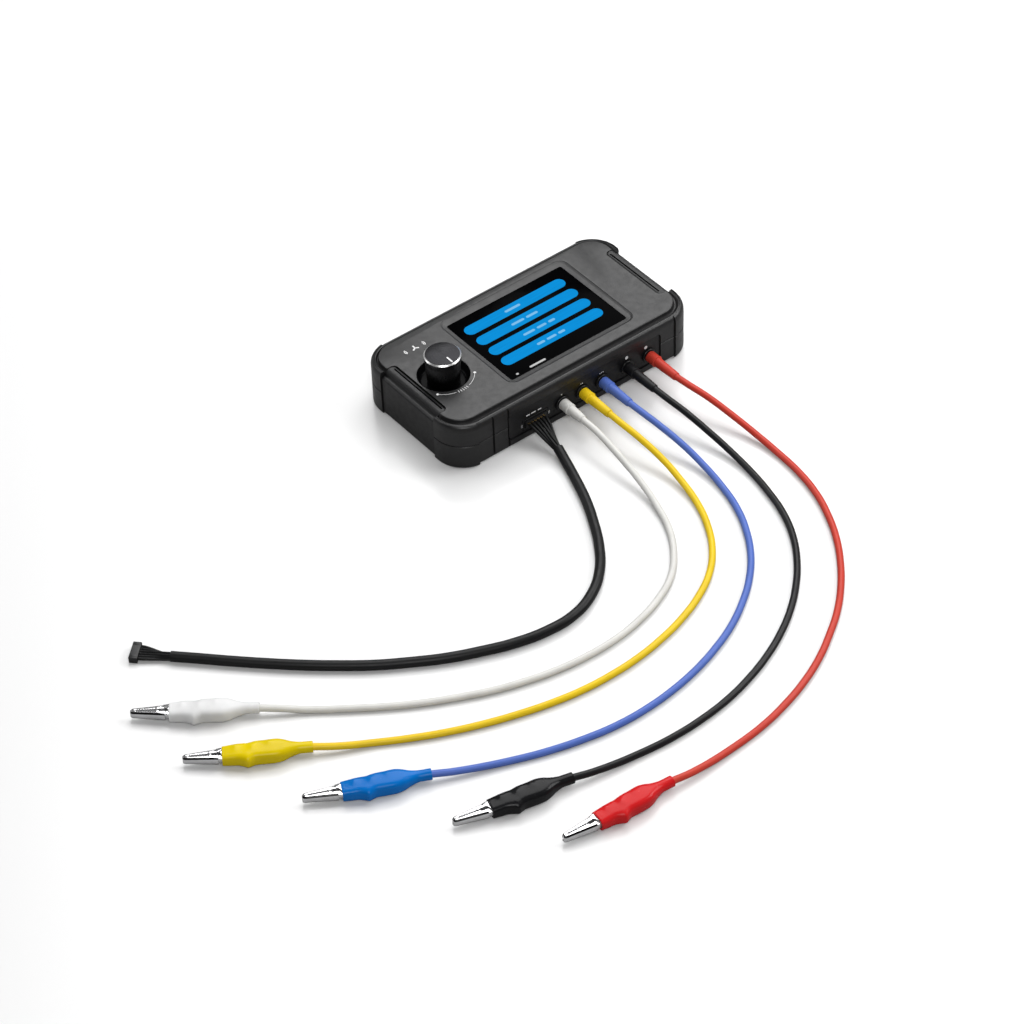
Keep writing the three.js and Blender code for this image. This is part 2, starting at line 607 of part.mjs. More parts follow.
function restPoint([x, y, z], rest) {
  return new THREE.Vector3(x, y, z === undefined ? rest : z);
}

function leadTube({ jack, plug, clip, route }) {
  const [x, y, degrees] = clip;
  const heading = THREE.MathUtils.degToRad(degrees);
  const behind = (distance, z) => new THREE.Vector3(
    x - distance * Math.cos(heading), y - distance * Math.sin(heading), z);
  const start = JACK.faceY - GAP - plug - GAP;
  const points = [
    new THREE.Vector3(jack, start, JACK_Z),
    ...route.map((point) => restPoint(point, LEAD_REST)),
    behind(9, 2.4), behind(GAP, CLIP.axisZ),
  ];
  return tube(points, LEAD_R, 8, 36);
}

function buildLeads() {
  const boot = bootBody();
  const fixed = fixedJaw();
  const moving = movingJaw();
  const spring = clipSpring();
  const rivet = post(RIVET_R, JAW.z0 - 0.05, JAW.z1 + 0.05, CLIP.pivotX, CLIP.pivotY, 8);
  LEADS.forEach((lead) => {
    const { name, color } = lead;
    addPart(`lead_plug_${name}`, leadPlug(lead.jack, lead.plug), matt(color, 0.45));
    addPart(`lead_${name}`, leadTube(lead), matt(color, 0.5));
    const group = clipGroup(lead.clip);
    addPart(`clip_boot_${name}`, boot, matt(lead.boot, 0.4), group);
    addPart(`clip_jaw_fixed_${name}`, fixed, STEEL, group);
    addPart(`clip_jaw_moving_${name}`, moving, STEEL, group);
    addPart(`clip_rivet_${name}`, rivet, STEEL, group);
    addPart(`clip_spring_${name}`, spring, STEEL, group);
  });
}

// ---- Sensor cable ---------------------------------------------------------------------
function buildSensorCable() {
  const { w, h, y0, y1 } = SOCKET_PLUG;
  const plug = box(SOCKET.x - w / 2, SOCKET.x + w / 2, y0, y1, SOCKET.z - h / 2, SOCKET.z + h / 2);
  addPart('sensor_plug', plug, RUBBER_BLACK);

  const heading = THREE.MathUtils.degToRad(SENSOR_END.angle);
  const reach = SENSOR_END.len / 2 + GAP;
  const points = [
    new THREE.Vector3(SOCKET.x, y0 - GAP, SOCKET.z),
    ...SENSOR_ROUTE.map((point) => restPoint(point, SENSOR_REST)),
    new THREE.Vector3(SENSOR_END.x - reach * Math.cos(heading),
      SENSOR_END.y - reach * Math.sin(heading), SENSOR_REST),
  ];
  addPart('sensor_cable', tube(points, SENSOR_R, 8, 34), RUBBER_BLACK);

  const group = new THREE.Group();
  group.position.set(SENSOR_END.x, SENSOR_END.y, 0);
  group.rotation.z = heading;
  root.add(group);
  const half = SENSOR_END.len / 2;
  const end = box(-half, half, -SENSOR_END.w / 2, SENSOR_END.w / 2, 0.1, 0.1 + SENSOR_END.h);
  addPart('sensor_end_plug', end, RUBBER_BLACK, group);
}

buildCase();
buildTrim();
buildScreen();
buildBoard();
buildKnob();
buildSockets();
buildLeads();
buildSensorCable();

export default root;
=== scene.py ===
"""Looks of a handheld component meter: case, screen, knob, five clip leads and a sensor cable.

Shapes are built in millimetres in the part's own frame, and scaled to metres as they become pieces.
"""
import math

import bmesh
import bpy
from mathutils import Matrix, Vector


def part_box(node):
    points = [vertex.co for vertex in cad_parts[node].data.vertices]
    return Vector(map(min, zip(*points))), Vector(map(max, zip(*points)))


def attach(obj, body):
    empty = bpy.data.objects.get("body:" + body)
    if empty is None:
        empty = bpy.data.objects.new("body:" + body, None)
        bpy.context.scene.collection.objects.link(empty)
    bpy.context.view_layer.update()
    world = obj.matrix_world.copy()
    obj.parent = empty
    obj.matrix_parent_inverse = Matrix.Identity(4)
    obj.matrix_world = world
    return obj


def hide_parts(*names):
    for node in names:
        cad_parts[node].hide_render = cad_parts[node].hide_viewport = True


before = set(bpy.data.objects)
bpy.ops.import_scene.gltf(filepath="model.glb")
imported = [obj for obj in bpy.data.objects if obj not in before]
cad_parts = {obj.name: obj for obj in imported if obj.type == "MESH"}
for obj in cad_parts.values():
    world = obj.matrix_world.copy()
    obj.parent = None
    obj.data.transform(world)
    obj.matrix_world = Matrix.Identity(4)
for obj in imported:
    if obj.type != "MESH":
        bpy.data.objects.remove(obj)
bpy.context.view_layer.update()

MM = 0.001
GAP = 0.3  # between touching pieces, mm
PROUD = 0.02  # how far print and lit areas stand out, mm


def box_mm(node):
    low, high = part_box(node)
    return low / MM, high / MM


# ---- Driving dimensions, in millimetres ---------------------------------------------
GUARD = (59.8, 31.7, 13.0)  # half length, half width and corner radius
WALL = (59.2, 31.1, 12.4)
CAVITY = (55.4, 28.5, 9.6)
CORNERS = [(sx, sy) for sx in (-1, 1) for sy in (-1, 1)]
GUARD_X, GUARD_Y = 49.0, 16.9  # where the corner guards end
SCREW_X, SCREW_Y = 50.4, 22.4
# Towards its top the case draws in: the ends by a share of what the long sides do, and past
# the shoulder the far side by less than the near one.
END_SHARE = 0.64
SHOULDER = 1.8
FAR_SHARE = 0.59
BASE_Z = 0.5
SPLIT_Z = 11.2
RIM_Z = 20.8
GROOVE_Z = 19.75
TOP_Z = box_mm("top_cover")[1].z
WALL_GROOVES = (-41.7, -34.3)

LENS_LOW, LENS_HIGH = box_mm("screen_lens")
SCREEN = (LENS_LOW + LENS_HIGH) / 2
SCREEN_HALF = (LENS_HIGH - LENS_LOW) / 2
# The screen's surround at its inner and outer edge: growth past the glass and shift of its
# centre in X and Y, then the corners' radius.
SURROUND_INNER = (-0.55, -0.9, 0.25, 0.45, 1.0)
SURROUND_OUTER = (2.1, 2.0, 0.5, 0.6, 4.2)

KNOB_LOW, KNOB_HIGH = box_mm("knob")
KNOB = (KNOB_LOW + KNOB_HIGH) / 2
KNOB_AXIS = (KNOB.x, KNOB.y, 0)
KNOB_R = 7.0
KNOB_RIM = 7.35
KNOB_HEAD = 2.3  # height of the head above the knurling
WELL_R = 10.3

PANEL_LOW, PANEL_HIGH = box_mm("socket_panel")
JACK_Z = 8.6
JACK_FACE = box_mm("jack_white")[0].y
PLUG_BACK = JACK_FACE - GAP
SENSOR_PLUG_LOW, SENSOR_PLUG_HIGH = box_mm("sensor_plug")
SENSOR_PLUG = (SENSOR_PLUG_LOW + SENSOR_PLUG_HIGH) / 2

END_X = 52.7  # inner edge of each end panel
END_WALL_X = 57.0
END_HALF_Y = 16.6
SLOT_X = 54.05
SLOT_HALF = 15.2

LEAD_R = 1.35
LEAD_REST = LEAD_R + 0.05
SENSOR_R = 2.0
SENSOR_REST = SENSOR_R + 0.05
WIRE_R = 0.58
PLUG_PITCH, END_PITCH = 1.5, 1.23  # between wires, in the sensor cable's two plugs
# Places of the six wires in the sleeve's end, across and up: two stacks of three.
PACK = [(-0.52, -0.95), (-0.52, 0.0), (-0.52, 0.95), (0.52, 0.95), (0.52, 0.0), (0.52, -0.95)]

CLIP_AXIS_Z = 3.1
BOOT_END = 32.2
CLIP_TIP = 46.2
PIVOT = (31.0, 1.1)
JAW_Z = (1.35, 4.85)
INNER_Z = (2.0, 4.2)
SHEET = 0.35

# Each lead: its colour, plug length, the clip's rear end and heading, and the route between.
# A point without a height lies on the floor.
LEADS = {
    "white": (12.0, (-190.1, -84.2, 142.0), [
        (-8, -52, 8.3), (-8.4, -60, 7.4), (-9, -70, 5.6), (-10.1, -82, 3.3), (-12.7, -94, 1.8),
        (-17, -106), (-24, -117), (-33, -126), (-44, -132), (-56.5, -136), (-69.5, -138),
        (-82.5, -138), (-95.5, -136.5), (-108, -133.5), (-120, -129.5), (-132, -124),
        (-143.5, -118), (-154.5, -111), (-165, -103.5), (-175.5, -95.5)]),
    "yellow": (16.2, (-186.4, -111.9, 146.3), [
        (2.2, -54, 8.3), (3, -64, 7.2), (3.8, -76.5, 4.8), (3, -89, 2.6), (0.3, -102),
        (-4.5, -113.5), (-11.5, -124.5), (-20.5, -133.5), (-31.5, -140.3), (-43.5, -145.2),
        (-56, -148.5), (-69, -150.5), (-82, -151), (-95, -150.2), (-107.5, -148), (-120, -144.7),
        (-132.5, -140.5), (-144.5, -135.5), (-156, -129.7), (-167, -123.3)]),
    "blue": (16.2, (-162.0, -149.2, 153.2), [
        (12.3, -54, 8.3), (13.4, -64, 7.2), (14.8, -76, 4.9), (15, -88.5, 2.6), (13.4, -101.5),
        (10, -113.7), (4.5, -125.5), (-2.5, -136), (-11.5, -145.5), (-21.8, -153.4),
        (-33, -160), (-45, -165), (-57, -168.6), (-70, -171), (-83, -172), (-96, -171.5),
        (-108.5, -169.4), (-121.5, -166), (-133.5, -161.7)]),
    "black": (16.2, (-124.9, -182.3, 165.5), [
        (24.9, -54, 8.3), (26, -64, 7.2), (27.3, -76.5, 4.8), (28, -89, 2.6), (27.3, -102),
        (25, -114.5), (21.5, -127), (16, -138.8), (8.5, -149.5), (-0.3, -158.9), (-10, -167),
        (-21, -174), (-32.5, -179.6), (-45, -184), (-57.5, -187), (-70.5, -188.5),
        (-83.5, -188.7), (-96.5, -187.5)]),
    "red": (16.2, (-99.2, -205.7, 174.2), [
        (36.4, -54, 8.3), (38.2, -63, 7.3), (40.2, -75, 5.1), (41.8, -87.5, 2.7), (42.2, -100.5),
        (41.2, -113), (38.5, -126), (34, -138), (28, -149.5), (20.5, -160.2), (12, -169.9),
        (2.5, -178.6), (-8, -186), (-19, -192.6), (-31, -198), (-43.5, -202), (-56, -204.7),
        (-69, -206)]),
}
SENSOR_ROUTE = [
    (-22.2, -46, 3.6), (-24, -53.5), (-27, -62.5), (-31.3, -74), (-36.8, -85.5), (-43.5, -97),
    (-51.5, -107), (-61.5, -114.7), (-73, -119), (-86, -119.2), (-99, -116.5), (-111, -112),
    (-123, -106.5), (-134, -100), (-145, -92.7), (-155, -84.7), (-165, -76), (-174.5, -67),
    (-183.5, -58), (-192.3, -48.8), (-199.4, -41.5),
]
SENSOR_END = (-208.0, -31.0, 132.5)

# The camera: degrees, metres and millimetres of lens.
CAMERA = {"azimuth": -36.6, "elevation": 43.37, "roll": -2.33, "distance": 1.3724, "lens": 127.38}
CAMERA_TARGET = Vector((-0.05561, -0.05954, 0.0))


# ---- Shape helpers ------------------------------------------------------------------
def placed(name, data):
    obj = bpy.data.objects.new(name, data)
    bpy.context.scene.collection.objects.link(obj)
    return obj


def made(name, bm):
    """A loose object in millimetres, from a bmesh."""
    bmesh.ops.recalc_face_normals(bm, faces=bm.faces)
    mesh = bpy.data.meshes.new(name)
    bm.to_mesh(mesh)
    bm.free()
    return placed(name, mesh)


def loft(name, rings):
    """A closed solid through rings of equal point counts, with flat ends."""
    bm = bmesh.new()
    rows = [[bm.verts.new(p) for p in ring] for ring in rings]
    count = len(rows[0])
    for lower, upper in zip(rows, rows[1:]):
        for i in range(count):
            j = (i + 1) % count
            bm.faces.new((lower[i], lower[j], upper[j], upper[i]))
    bm.faces.new(rows[0])
    bm.faces.new(rows[-1])
    return made(name, bm)


def polar(cx, cy, radius, degrees):
    """The point at this distance and direction from a centre, in a plane."""
    angle = math.radians(degrees)
    return cx + radius * math.cos(angle), cy + radius * math.sin(angle)


def arc(cx, cy, radius, start, end, steps=8):
    """Points on an arc, from one angle to another in degrees."""
    return [polar(cx, cy, radius, start + (end - start) * i / steps) for i in range(steps + 1)]


def rounded(half_x, half_y, radius, z, cx=0.0, cy=0.0, steps=8):
    """One ring: a rounded rectangle at height z."""
    points = []
    for quarter, (sx, sy) in enumerate(((1, 1), (-1, 1), (-1, -1), (1, -1))):
        corner = arc(cx + sx * (half_x - radius), cy + sy * (half_y - radius), radius,
                     90 * quarter, 90 * quarter + 90, steps)
        points += [(x, y, z) for x, y in corner]
    return points


def prism(name, half_x, half_y, radius, z0, z1, cx=0.0, cy=0.0):
    return loft(name, [rounded(half_x, half_y, radius, z, cx, cy) for z in (z0, z1)])


def turned(name, profile, centre, along="Z", segments=48):
    """A turned solid. The profile is (radius, distance), and starts and ends on the axis."""
    bm = bmesh.new()
    rows = []
    for r, h in profile:
        count = segments if r > 0 else 1
        row = []
        for i in range(count):
            a = 2 * math.pi * i / segments
            x, y, z = r * math.cos(a), r * math.sin(a), h
            row.append(bm.verts.new((x, z, y) if along == "Y" else (x, y, z)))
        rows.append(row)
    for a, b in zip(rows, rows[1:]):
        for i in range(segments):
            j = (i + 1) % segments
            corners = [a[i % len(a)], a[j % len(a)], b[j % len(b)], b[i % len(b)]]
            corners = list(dict.fromkeys(corners))
            if len(corners) > 2:
                bm.faces.new(corners)
    bmesh.ops.translate(bm, verts=bm.verts, vec=centre)
    return made(name, bm)


def rod(name, radius, z0, z1, centre, segments=48):
    return turned(name, [(0, z0), (radius, z0), (radius, z1), (0, z1)], centre, segments=segments)


def extruded(name, outline, depth0, depth1, plane="XY"):
    """A closed outline swept straight: in plane XY along Z, or in plane XZ along Y."""
    rings = []
    for d in (depth0, depth1):
        rings.append([(a, b, d) if plane == "XY" else (a, d, b) for a, b in outline])
    return loft(name, rings)


def block(name, x0, x1, y0, y1, z0, z1):
    return extruded(name, [(x0, y0), (x1, y0), (x1, y1), (x0, y1)], z0, z1)


def apply_modifiers(obj):
    depsgraph = bpy.context.evaluated_depsgraph_get()
    mesh = bpy.data.meshes.new_from_object(obj.evaluated_get(depsgraph))
    obj.modifiers.clear()
    obj.data = mesh


def combine(obj, tools, operation):
    """Joins the tools to obj, cuts them from it or keeps what is in both, and removes them."""
    for tool in tools:
        modifier = obj.modifiers.new("combine", "BOOLEAN")
        modifier.object = tool
        modifier.operation = operation
        modifier.solver = "MANIFOLD"
        apply_modifiers(obj)
    for tool in tools:
        bpy.data.objects.remove(tool)
    return obj


def cut(obj, *tools):
    return combine(obj, tools, "DIFFERENCE")


def join(obj, *tools):
    return combine(obj, tools, "UNION")


def keep(obj, *tools):
    return combine(obj, tools, "INTERSECT")


def soften(obj, width):
    """Rounds the sharp edges by a small width."""
    modifier = obj.modifiers.new("soften", "BEVEL")
    modifier.width = width
    modifier.segments = 2
    modifier.limit_method = "ANGLE"
    modifier.angle_limit = math.radians(40)
    apply_modifiers(obj)
    return obj


def piece(obj, material, body="root", replaces=(), sharp=30):
    """Scales a shape to metres and makes it a piece of the object."""
    obj.data.transform(Matrix.Scale(MM, 4))
    for polygon in obj.data.polygons:
        polygon.use_smooth = True
    obj.data.set_sharp_from_angle(angle=math.radians(sharp))
    obj.data.materials.clear()
    obj.data.materials.append(material)
    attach(obj, body)
    if replaces:
        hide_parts(*replaces)
    return obj


def tube(name, points, radius, material):
    """A round cord or wire: one open spline through the points, given in millimetres."""
    curve = bpy.data.curves.new(name, "CURVE")
    curve.dimensions = "3D"
    curve.bevel_depth = radius * MM
    curve.bevel_resolution = 6
    curve.resolution_u = 10
    curve.use_fill_caps = True
    spline = curve.splines.new("BEZIER")
    spline.bezier_points.add(len(points) - 1)
    for knot, point in zip(spline.bezier_points, points):
        knot.co = Vector(point) * MM
        knot.handle_left_type = knot.handle_right_type = "AUTO"
    obj = placed(name, curve)
    obj.data.materials.append(material)
    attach(obj, "root")
    return obj


# ---- Materials ----------------------------------------------------------------------
NOISE_LOW, NOISE_HIGH = 0.3, 0.7  # most of a noise's values lie between these


class Nodes:
    """A material's node tree, with short ways to add and join nodes."""

    def __init__(self, name):
        self.material = bpy.data.materials.new(name)
        self.material.use_nodes = True
        self.tree = self.material.node_tree
        self.shader = self.tree.nodes["Principled BSDF"]
        self.coords = self.add("ShaderNodeTexCoord").outputs["Object"]

    def add(self, kind, **inputs):
        node = self.tree.nodes.new(kind)
        for name, value in inputs.items():
            node.inputs[name.replace("_", " ")].default_value = value
        return node

    def link(self, output, socket):
        self.tree.links.new(output, socket)

    def noise(self, size, detail=3.0, stretch=None):
        """Noise with features of about this size in millimetres."""
        node = self.add("ShaderNodeTexNoise", Scale=1 / (size * MM), Detail=detail)
        source = self.coords
        if stretch:
            mapping = self.add("ShaderNodeMapping", Scale=stretch)
            self.link(source, mapping.inputs["Vector"])
            source = mapping.outputs["Vector"]
        self.link(source, node.inputs["Vector"])
        return node.outputs["Fac"]

    def shades(self, factor, dark, light):
        ramp = self.add("ShaderNodeValToRGB")
        first, last = ramp.color_ramp.elements
        first.position, first.color = NOISE_LOW, (*dark, 1)
        last.position, last.color = NOISE_HIGH, (*light, 1)
        self.link(factor, ramp.inputs["Fac"])
        return ramp.outputs["Color"]

    def spread(self, factor, low, high):
        node = self.add("ShaderNodeMapRange", From_Min=NOISE_LOW, From_Max=NOISE_HIGH,
                        To_Min=low, To_Max=high)
        self.link(factor, node.inputs["Value"])
        return node.outputs["Result"]

    def bump(self, height, depth):
        """A bump of this depth in millimetres."""
        node = self.add("ShaderNodeBump", Strength=1.0, Distance=depth * MM)
        self.link(height, node.inputs["Height"])
        return node.outputs["Normal"]


def tint(colour, amount):
    return tuple(min(1.0, c * amount) for c in colour)


def moulded(name, colour, roughness, grain=0.22, depth=0.012, specular=0.5, mottle=0.12,
            **sockets):
    """Moulded plastic or rubber: fine spark-eroded grain, slow shade changes, worn gloss."""
    nodes = Nodes(name)
    shader = nodes.shader
    fine = nodes.noise(grain, detail=2.0)
    broad = nodes.noise(9.0, detail=4.0)
    colours = nodes.shades(broad, tint(colour, 1 - mottle), tint(colour, 1 + mottle))
    nodes.link(colours, shader.inputs["Base Color"])
    nodes.link(nodes.spread(nodes.noise(2.2), roughness - 0.05, roughness + 0.06),
               shader.inputs["Roughness"])
    nodes.link(nodes.bump(fine, depth), shader.inputs["Normal"])
    shader.inputs["Specular IOR Level"].default_value = specular
    for socket, value in sockets.items():
        shader.inputs[socket.replace("_", " ")].default_value = value
    return nodes.material


def metal(name, colour, roughness, scratch=(1.0, 1.0, 1.0), depth=0.002, diffuse=0.0):
    """Plated or polished metal, with fine scratches along one direction."""
    nodes = Nodes(name)
    shader = nodes.shader
    lines = nodes.noise(0.25, detail=4.0, stretch=scratch)
    nodes.link(nodes.shades(nodes.noise(4.0), tint(colour, 0.88), tint(colour, 1.06)),
               shader.inputs["Base Color"])
    nodes.link(nodes.spread(lines, roughness - 0.04, roughness + 0.04), shader.inputs["Roughness"])
    nodes.link(nodes.bump(lines, depth), shader.inputs["Normal"])
    shader.inputs["Metallic"].default_value = 1.0 - diffuse
    return nodes.material


def nickel(name, colour, roughness):
    """Bright plating, with painted shade on the folds of the sheet standing in for their dark
    reflections, so they come out darker than its flat faces.
    """
    material = metal(name, colour, roughness, scratch=(1.0, 0.15, 1.0), diffuse=0.2)
    tree = material.node_tree
    shader = tree.nodes["Principled BSDF"]
    flat = shader.inputs["Base Color"].links[0].from_socket
    facing = tree.nodes.new("ShaderNodeTexCoord").outputs["Normal"]
    upward = tree.nodes.new("ShaderNodeSeparateXYZ")
    tree.links.new(facing, upward.inputs[0])
    size = tree.nodes.new("ShaderNodeMath")
    size.operation = "ABSOLUTE"
    tree.links.new(upward.outputs["Z"], size.inputs[0])
    # Painted shade: faces that lean between flat and upright, as on the folds, are darkened almost
    # to black.
    painted_fold_shade = tree.nodes.new("ShaderNodeValToRGB")
    ramp = painted_fold_shade.color_ramp
    ramp.elements[0].position, ramp.elements[0].color = 0.22, (1, 1, 1, 1)
    ramp.elements[1].position, ramp.elements[1].color = 0.98, (1, 1, 1, 1)
    for position in (0.36, 0.93):
        ramp.elements.new(position).color = (0.03, 0.03, 0.03, 1)
    tree.links.new(size.outputs[0], painted_fold_shade.inputs["Fac"])
    shade = tree.nodes.new("ShaderNodeMix")
    shade.data_type, shade.blend_type = "RGBA", "MULTIPLY"
    shade.inputs[0].default_value = 1.0
    tree.links.new(flat, shade.inputs[6])
    tree.links.new(painted_fold_shade.outputs["Color"], shade.inputs[7])
    tree.links.new(shade.outputs[2], shader.inputs["Base Color"])
    return material


def spun(name, colour, roughness):
    """Metal turned on a lathe: fine rings about the knob's axis."""
    nodes = Nodes(name)
    shader = nodes.shader
    place = nodes.coords
    for operation, value in (("SUBTRACT", Vector(KNOB_AXIS) * MM), ("MULTIPLY", (1, 1, 0))):
        step = nodes.add("ShaderNodeVectorMath")
        step.operation = operation
        step.inputs[1].default_value = value
        nodes.link(place, step.inputs[0])
        place = step.outputs["Vector"]
    radius = nodes.add("ShaderNodeVectorMath")
    radius.operation = "LENGTH"
    nodes.link(place, radius.inputs[0])
    rings = nodes.add("ShaderNodeTexNoise", Scale=1 / (0.12 * MM), Detail=3.0)
    rings.noise_dimensions = "1D"
    nodes.link(radius.outputs["Value"], rings.inputs["W"])
    nodes.link(nodes.shades(rings.outputs["Fac"], tint(colour, 0.8), tint(colour, 1.25)),
               shader.inputs["Base Color"])
    nodes.link(nodes.bump(rings.outputs["Fac"], 0.004), shader.inputs["Normal"])
    nodes.link(nodes.spread(rings.outputs["Fac"], roughness - 0.05, roughness + 0.08),
               shader.inputs["Roughness"])
    shader.inputs["Metallic"].default_value = 1.0
    shader.inputs["Anisotropic"].default_value = 0.85
    tangent = nodes.add("ShaderNodeTangent")
    tangent.direction_type = "RADIAL"
    tangent.axis = "Z"
    nodes.link(tangent.outputs["Tangent"], shader.inputs["Tangent"])
    return nodes.material


def glowing(name, colour):
    """A lit area of the display: faint pixel rows in its light."""
    nodes = Nodes(name)
    shader = nodes.shader
    rows = nodes.noise(0.5, detail=1.0, stretch=(0.05, 1.0, 1.0))
    nodes.link(nodes.shades(rows, tint(colour, 0.94), tint(colour, 1.05)),
               shader.inputs["Emission Color"])
    nodes.link(nodes.shades(rows, tint(colour, 0.02), tint(colour, 0.03)),
               shader.inputs["Base Color"])
    shader.inputs["Emission Strength"].default_value = 1.0
    shader.inputs["Roughness"].default_value = 0.5
    shader.inputs["Specular IOR Level"].default_value = 0.004
    return nodes.material


SHELL = moulded("shell_plastic", (0.009, 0.009, 0.0095), 0.4, grain=0.3, depth=0.02, specular=0.5)
TRIM = moulded("trim_plastic", (0.006, 0.006, 0.0066), 0.42, grain=0.3, depth=0.016, specular=0.4)
# The knob's well: the shell's plastic made darker and almost without gloss, painted shade in the
# recess.
WELL = moulded("well_plastic_painted_shade", (0.003, 0.003, 0.0034), 0.25, grain=0.8, depth=0.002, specular=0.03)
GLASS = moulded("screen_glass", (0.0012, 0.0012, 0.0014), 0.12, grain=1.5, depth=0.0004,
                specular=0.004)
CONNECTOR = moulded("connector_plastic", (0.008, 0.008, 0.0085), 0.35, specular=0.4)
BLACK_SLEEVE = moulded("black_sleeve", (0.005, 0.005, 0.0055), 0.42, grain=0.4, depth=0.01,
                       specular=0.25)
PRINT = moulded("white_print", (0.75, 0.75, 0.75), 0.6, grain=0.15, depth=0.004)
# Nickel plate on the clips' jaws, with painted shade along the sheet's folds.
CHROME = nickel("nickel_plate", (0.8, 0.8, 0.81), 0.1)
STEEL = metal("plain_steel", (0.55, 0.55, 0.56), 0.3)
GOLD = metal("gold_contact", (0.75, 0.5, 0.18), 0.25)
KNOB_SIDE = metal("anodised_black", (0.06, 0.06, 0.063), 0.3, depth=0.003)
KNOB_TOP = spun("anodised_spun", (0.026, 0.026, 0.028), 0.3)
KNOB_EDGE = metal("cut_edge", (0.9, 0.9, 0.9), 0.34, depth=0.0005, diffuse=0.1)
BAR_BLUE = glowing("display_blue", (0.003, 0.27, 0.68))
BAR_LABEL = glowing("display_label", (0.2, 0.5, 0.8))
DISPLAY_WHITE = glowing("display_white", (0.55, 0.55, 0.55))

CORD_COLOURS = {
    "white": (0.66, 0.655, 0.63), "yellow": (0.78, 0.54, 0.010), "blue": (0.085, 0.154, 0.50),
    "black": (0.008, 0.008, 0.009), "red": (0.54, 0.046, 0.028),
}
BOOT_COLOURS = {
    "white": (0.74, 0.74, 0.74), "yellow": (0.71, 0.54, 0.003), "blue": (0.0015, 0.146, 0.51),
    "black": (0.009, 0.009, 0.010), "red": (0.59, 0.014, 0.016),
}
# White soft plastic lets some light through.
CLOUDY = {"Subsurface_Weight": 0.5, "Subsurface_Scale": 0.002, "Subsurface_Radius": (0.6, 0.6, 0.6)}


def coloured(kind, colours, roughness, **looks):
    """A material for each lead."""
    return {name: moulded(f"{kind}_{name}", colour, roughness, **looks,
                          **(CLOUDY if name == "white" else {}))
            for name, colour in colours.items()}


CORDS = coloured("cord", CORD_COLOURS, 0.36, grain=0.5, depth=0.006, mottle=0.05, specular=0.25)
PLUGS = coloured("plug", CORD_COLOURS, 0.4, grain=0.3, depth=0.008, mottle=0.06, specular=0.25)
BOOTS = coloured("boot", BOOT_COLOURS, 0.22, grain=1.2, depth=0.02, mottle=0.07, specular=0.15)


# ---- Camera -------------------------------------------------------------------------
def make_camera():
    azimuth = math.radians(CAMERA["azimuth"])
    elevation = math.radians(CAMERA["elevation"])
    roll = math.radians(CAMERA["roll"])
    back = Vector((math.sin(azimuth) * math.cos(elevation),
                   -math.cos(azimuth) * math.cos(elevation), math.sin(elevation)))
    level = Vector((math.cos(azimuth), math.sin(azimuth), 0.0))
    upright = back.cross(level)
    right = math.cos(roll) * level + math.sin(roll) * upright
    up = back.cross(right)
    camera = placed("camera", bpy.data.cameras.new("camera"))
    axes = Matrix((right, up, back)).transposed().to_4x4()
    camera.matrix_world = Matrix.Translation(CAMERA_TARGET + back * CAMERA["distance"]) @ axes
    camera.data.lens = CAMERA["lens"]
    camera.data.sensor_width = 36.0
    camera.data.clip_end = 20.0
    bpy.context.scene.camera = camera


# ---- Cords --------------------------------------------------------------------------
def jack_place(name):
    low, high = box_mm(f"jack_{name}")
    return ((low.x + high.x) / 2, 0, JACK_Z)


def six_rows(pitch):
    return [(i - 2.5) * pitch for i in range(6)]


def at_rest(points, rest):
    return [p if len(p) == 3 else (*p, rest) for p in points]


def behind(place, distance, z):
    """A point behind a clip's rear end, on the clip's own line."""
    x, y, degrees = place
    return (*polar(x, y, -distance, degrees), z)


def lead_cord(name):
    length, clip, route = LEADS[name]
    start = (jack_place(name)[0], PLUG_BACK - length + GAP, JACK_Z)
    points = [start, *at_rest(route, LEAD_REST), behind(clip, 9, 2.4),
              behind(clip, -GAP, CLIP_AXIS_Z)]
    cord = tube(f"cord_{name}", points, LEAD_R, CORDS[name])
    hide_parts(f"lead_{name}")
    return cord


def wire_fan(name, starts, ends, bend):
    """Six wires that gather from a plug's row of contacts into a sleeve."""
    wires = []
    straight = Vector(bend)
    for i, (a, b) in enumerate(zip(starts, ends), 1):
        a, b = Vector(a), Vector(b)
        points = [a, a + straight * 0.8, a.lerp(b, 0.62) + straight * 0.2, b]
        wires.append(tube(f"{name}_{i}", points, WIRE_R, BLACK_SLEEVE))
    return wires


def sensor_cord():
    route = at_rest(SENSOR_ROUTE, SENSOR_REST)
    sleeve = tube("sensor_sleeve", route, SENSOR_R, BLACK_SLEEVE)
    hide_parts("sensor_cable")
    entry = Vector((SENSOR_PLUG.x, SENSOR_PLUG_LOW.y + 0.4, SENSOR_PLUG.z))
    start = Vector(route[0]) + Vector((-0.2, -2.0, -0.5))
    near = wire_fan("near_wire", [entry + Vector((r, 0, 0)) for r in six_rows(PLUG_PITCH)],
                    [start + Vector((a, 0, b)) for a, b in PACK], (0, -2.6, -0.1))
    x, y, degrees = SENSOR_END
    ahead = Vector((*polar(0, 0, 1, degrees), 0))
    aside = Vector((-ahead.y, ahead.x, 0))
    back = Vector((x, y, 1.6)) - ahead * 1.2
    end = Vector(route[-1]) - ahead * 1.5
    far = wire_fan("far_wire", [back + aside * r for r in six_rows(END_PITCH)],
                   [end + aside * a + Vector((0, 0, b)) for a, b in PACK], -ahead * 1.6)
    return sleeve, near + far


make_camera()
CORD_PIECES = {name: lead_cord(name) for name in LEADS}
SLEEVE, WIRES = sensor_cord()


# ---- Case ---------------------------------------------------------------------------
def inset(outline, long_side, end):
    """The case outline drawn in by these distances on its long sides and its ends."""
    half_x, half_y, radius = outline
    return half_x - end, half_y - long_side, radius - (long_side + end) / 2


def case_ring(outline, distance, z):
    """A ring for the case: its ends and its far side are drawn in less than its near side."""
    half_x, half_y, radius = inset(outline, distance, distance * END_SHARE)
    farther = FAR_SHARE * max(0.0, distance - SHOULDER)
    return rounded(half_x, half_y + farther / 2, radius, z, 0.0, farther / 2, steps=20)


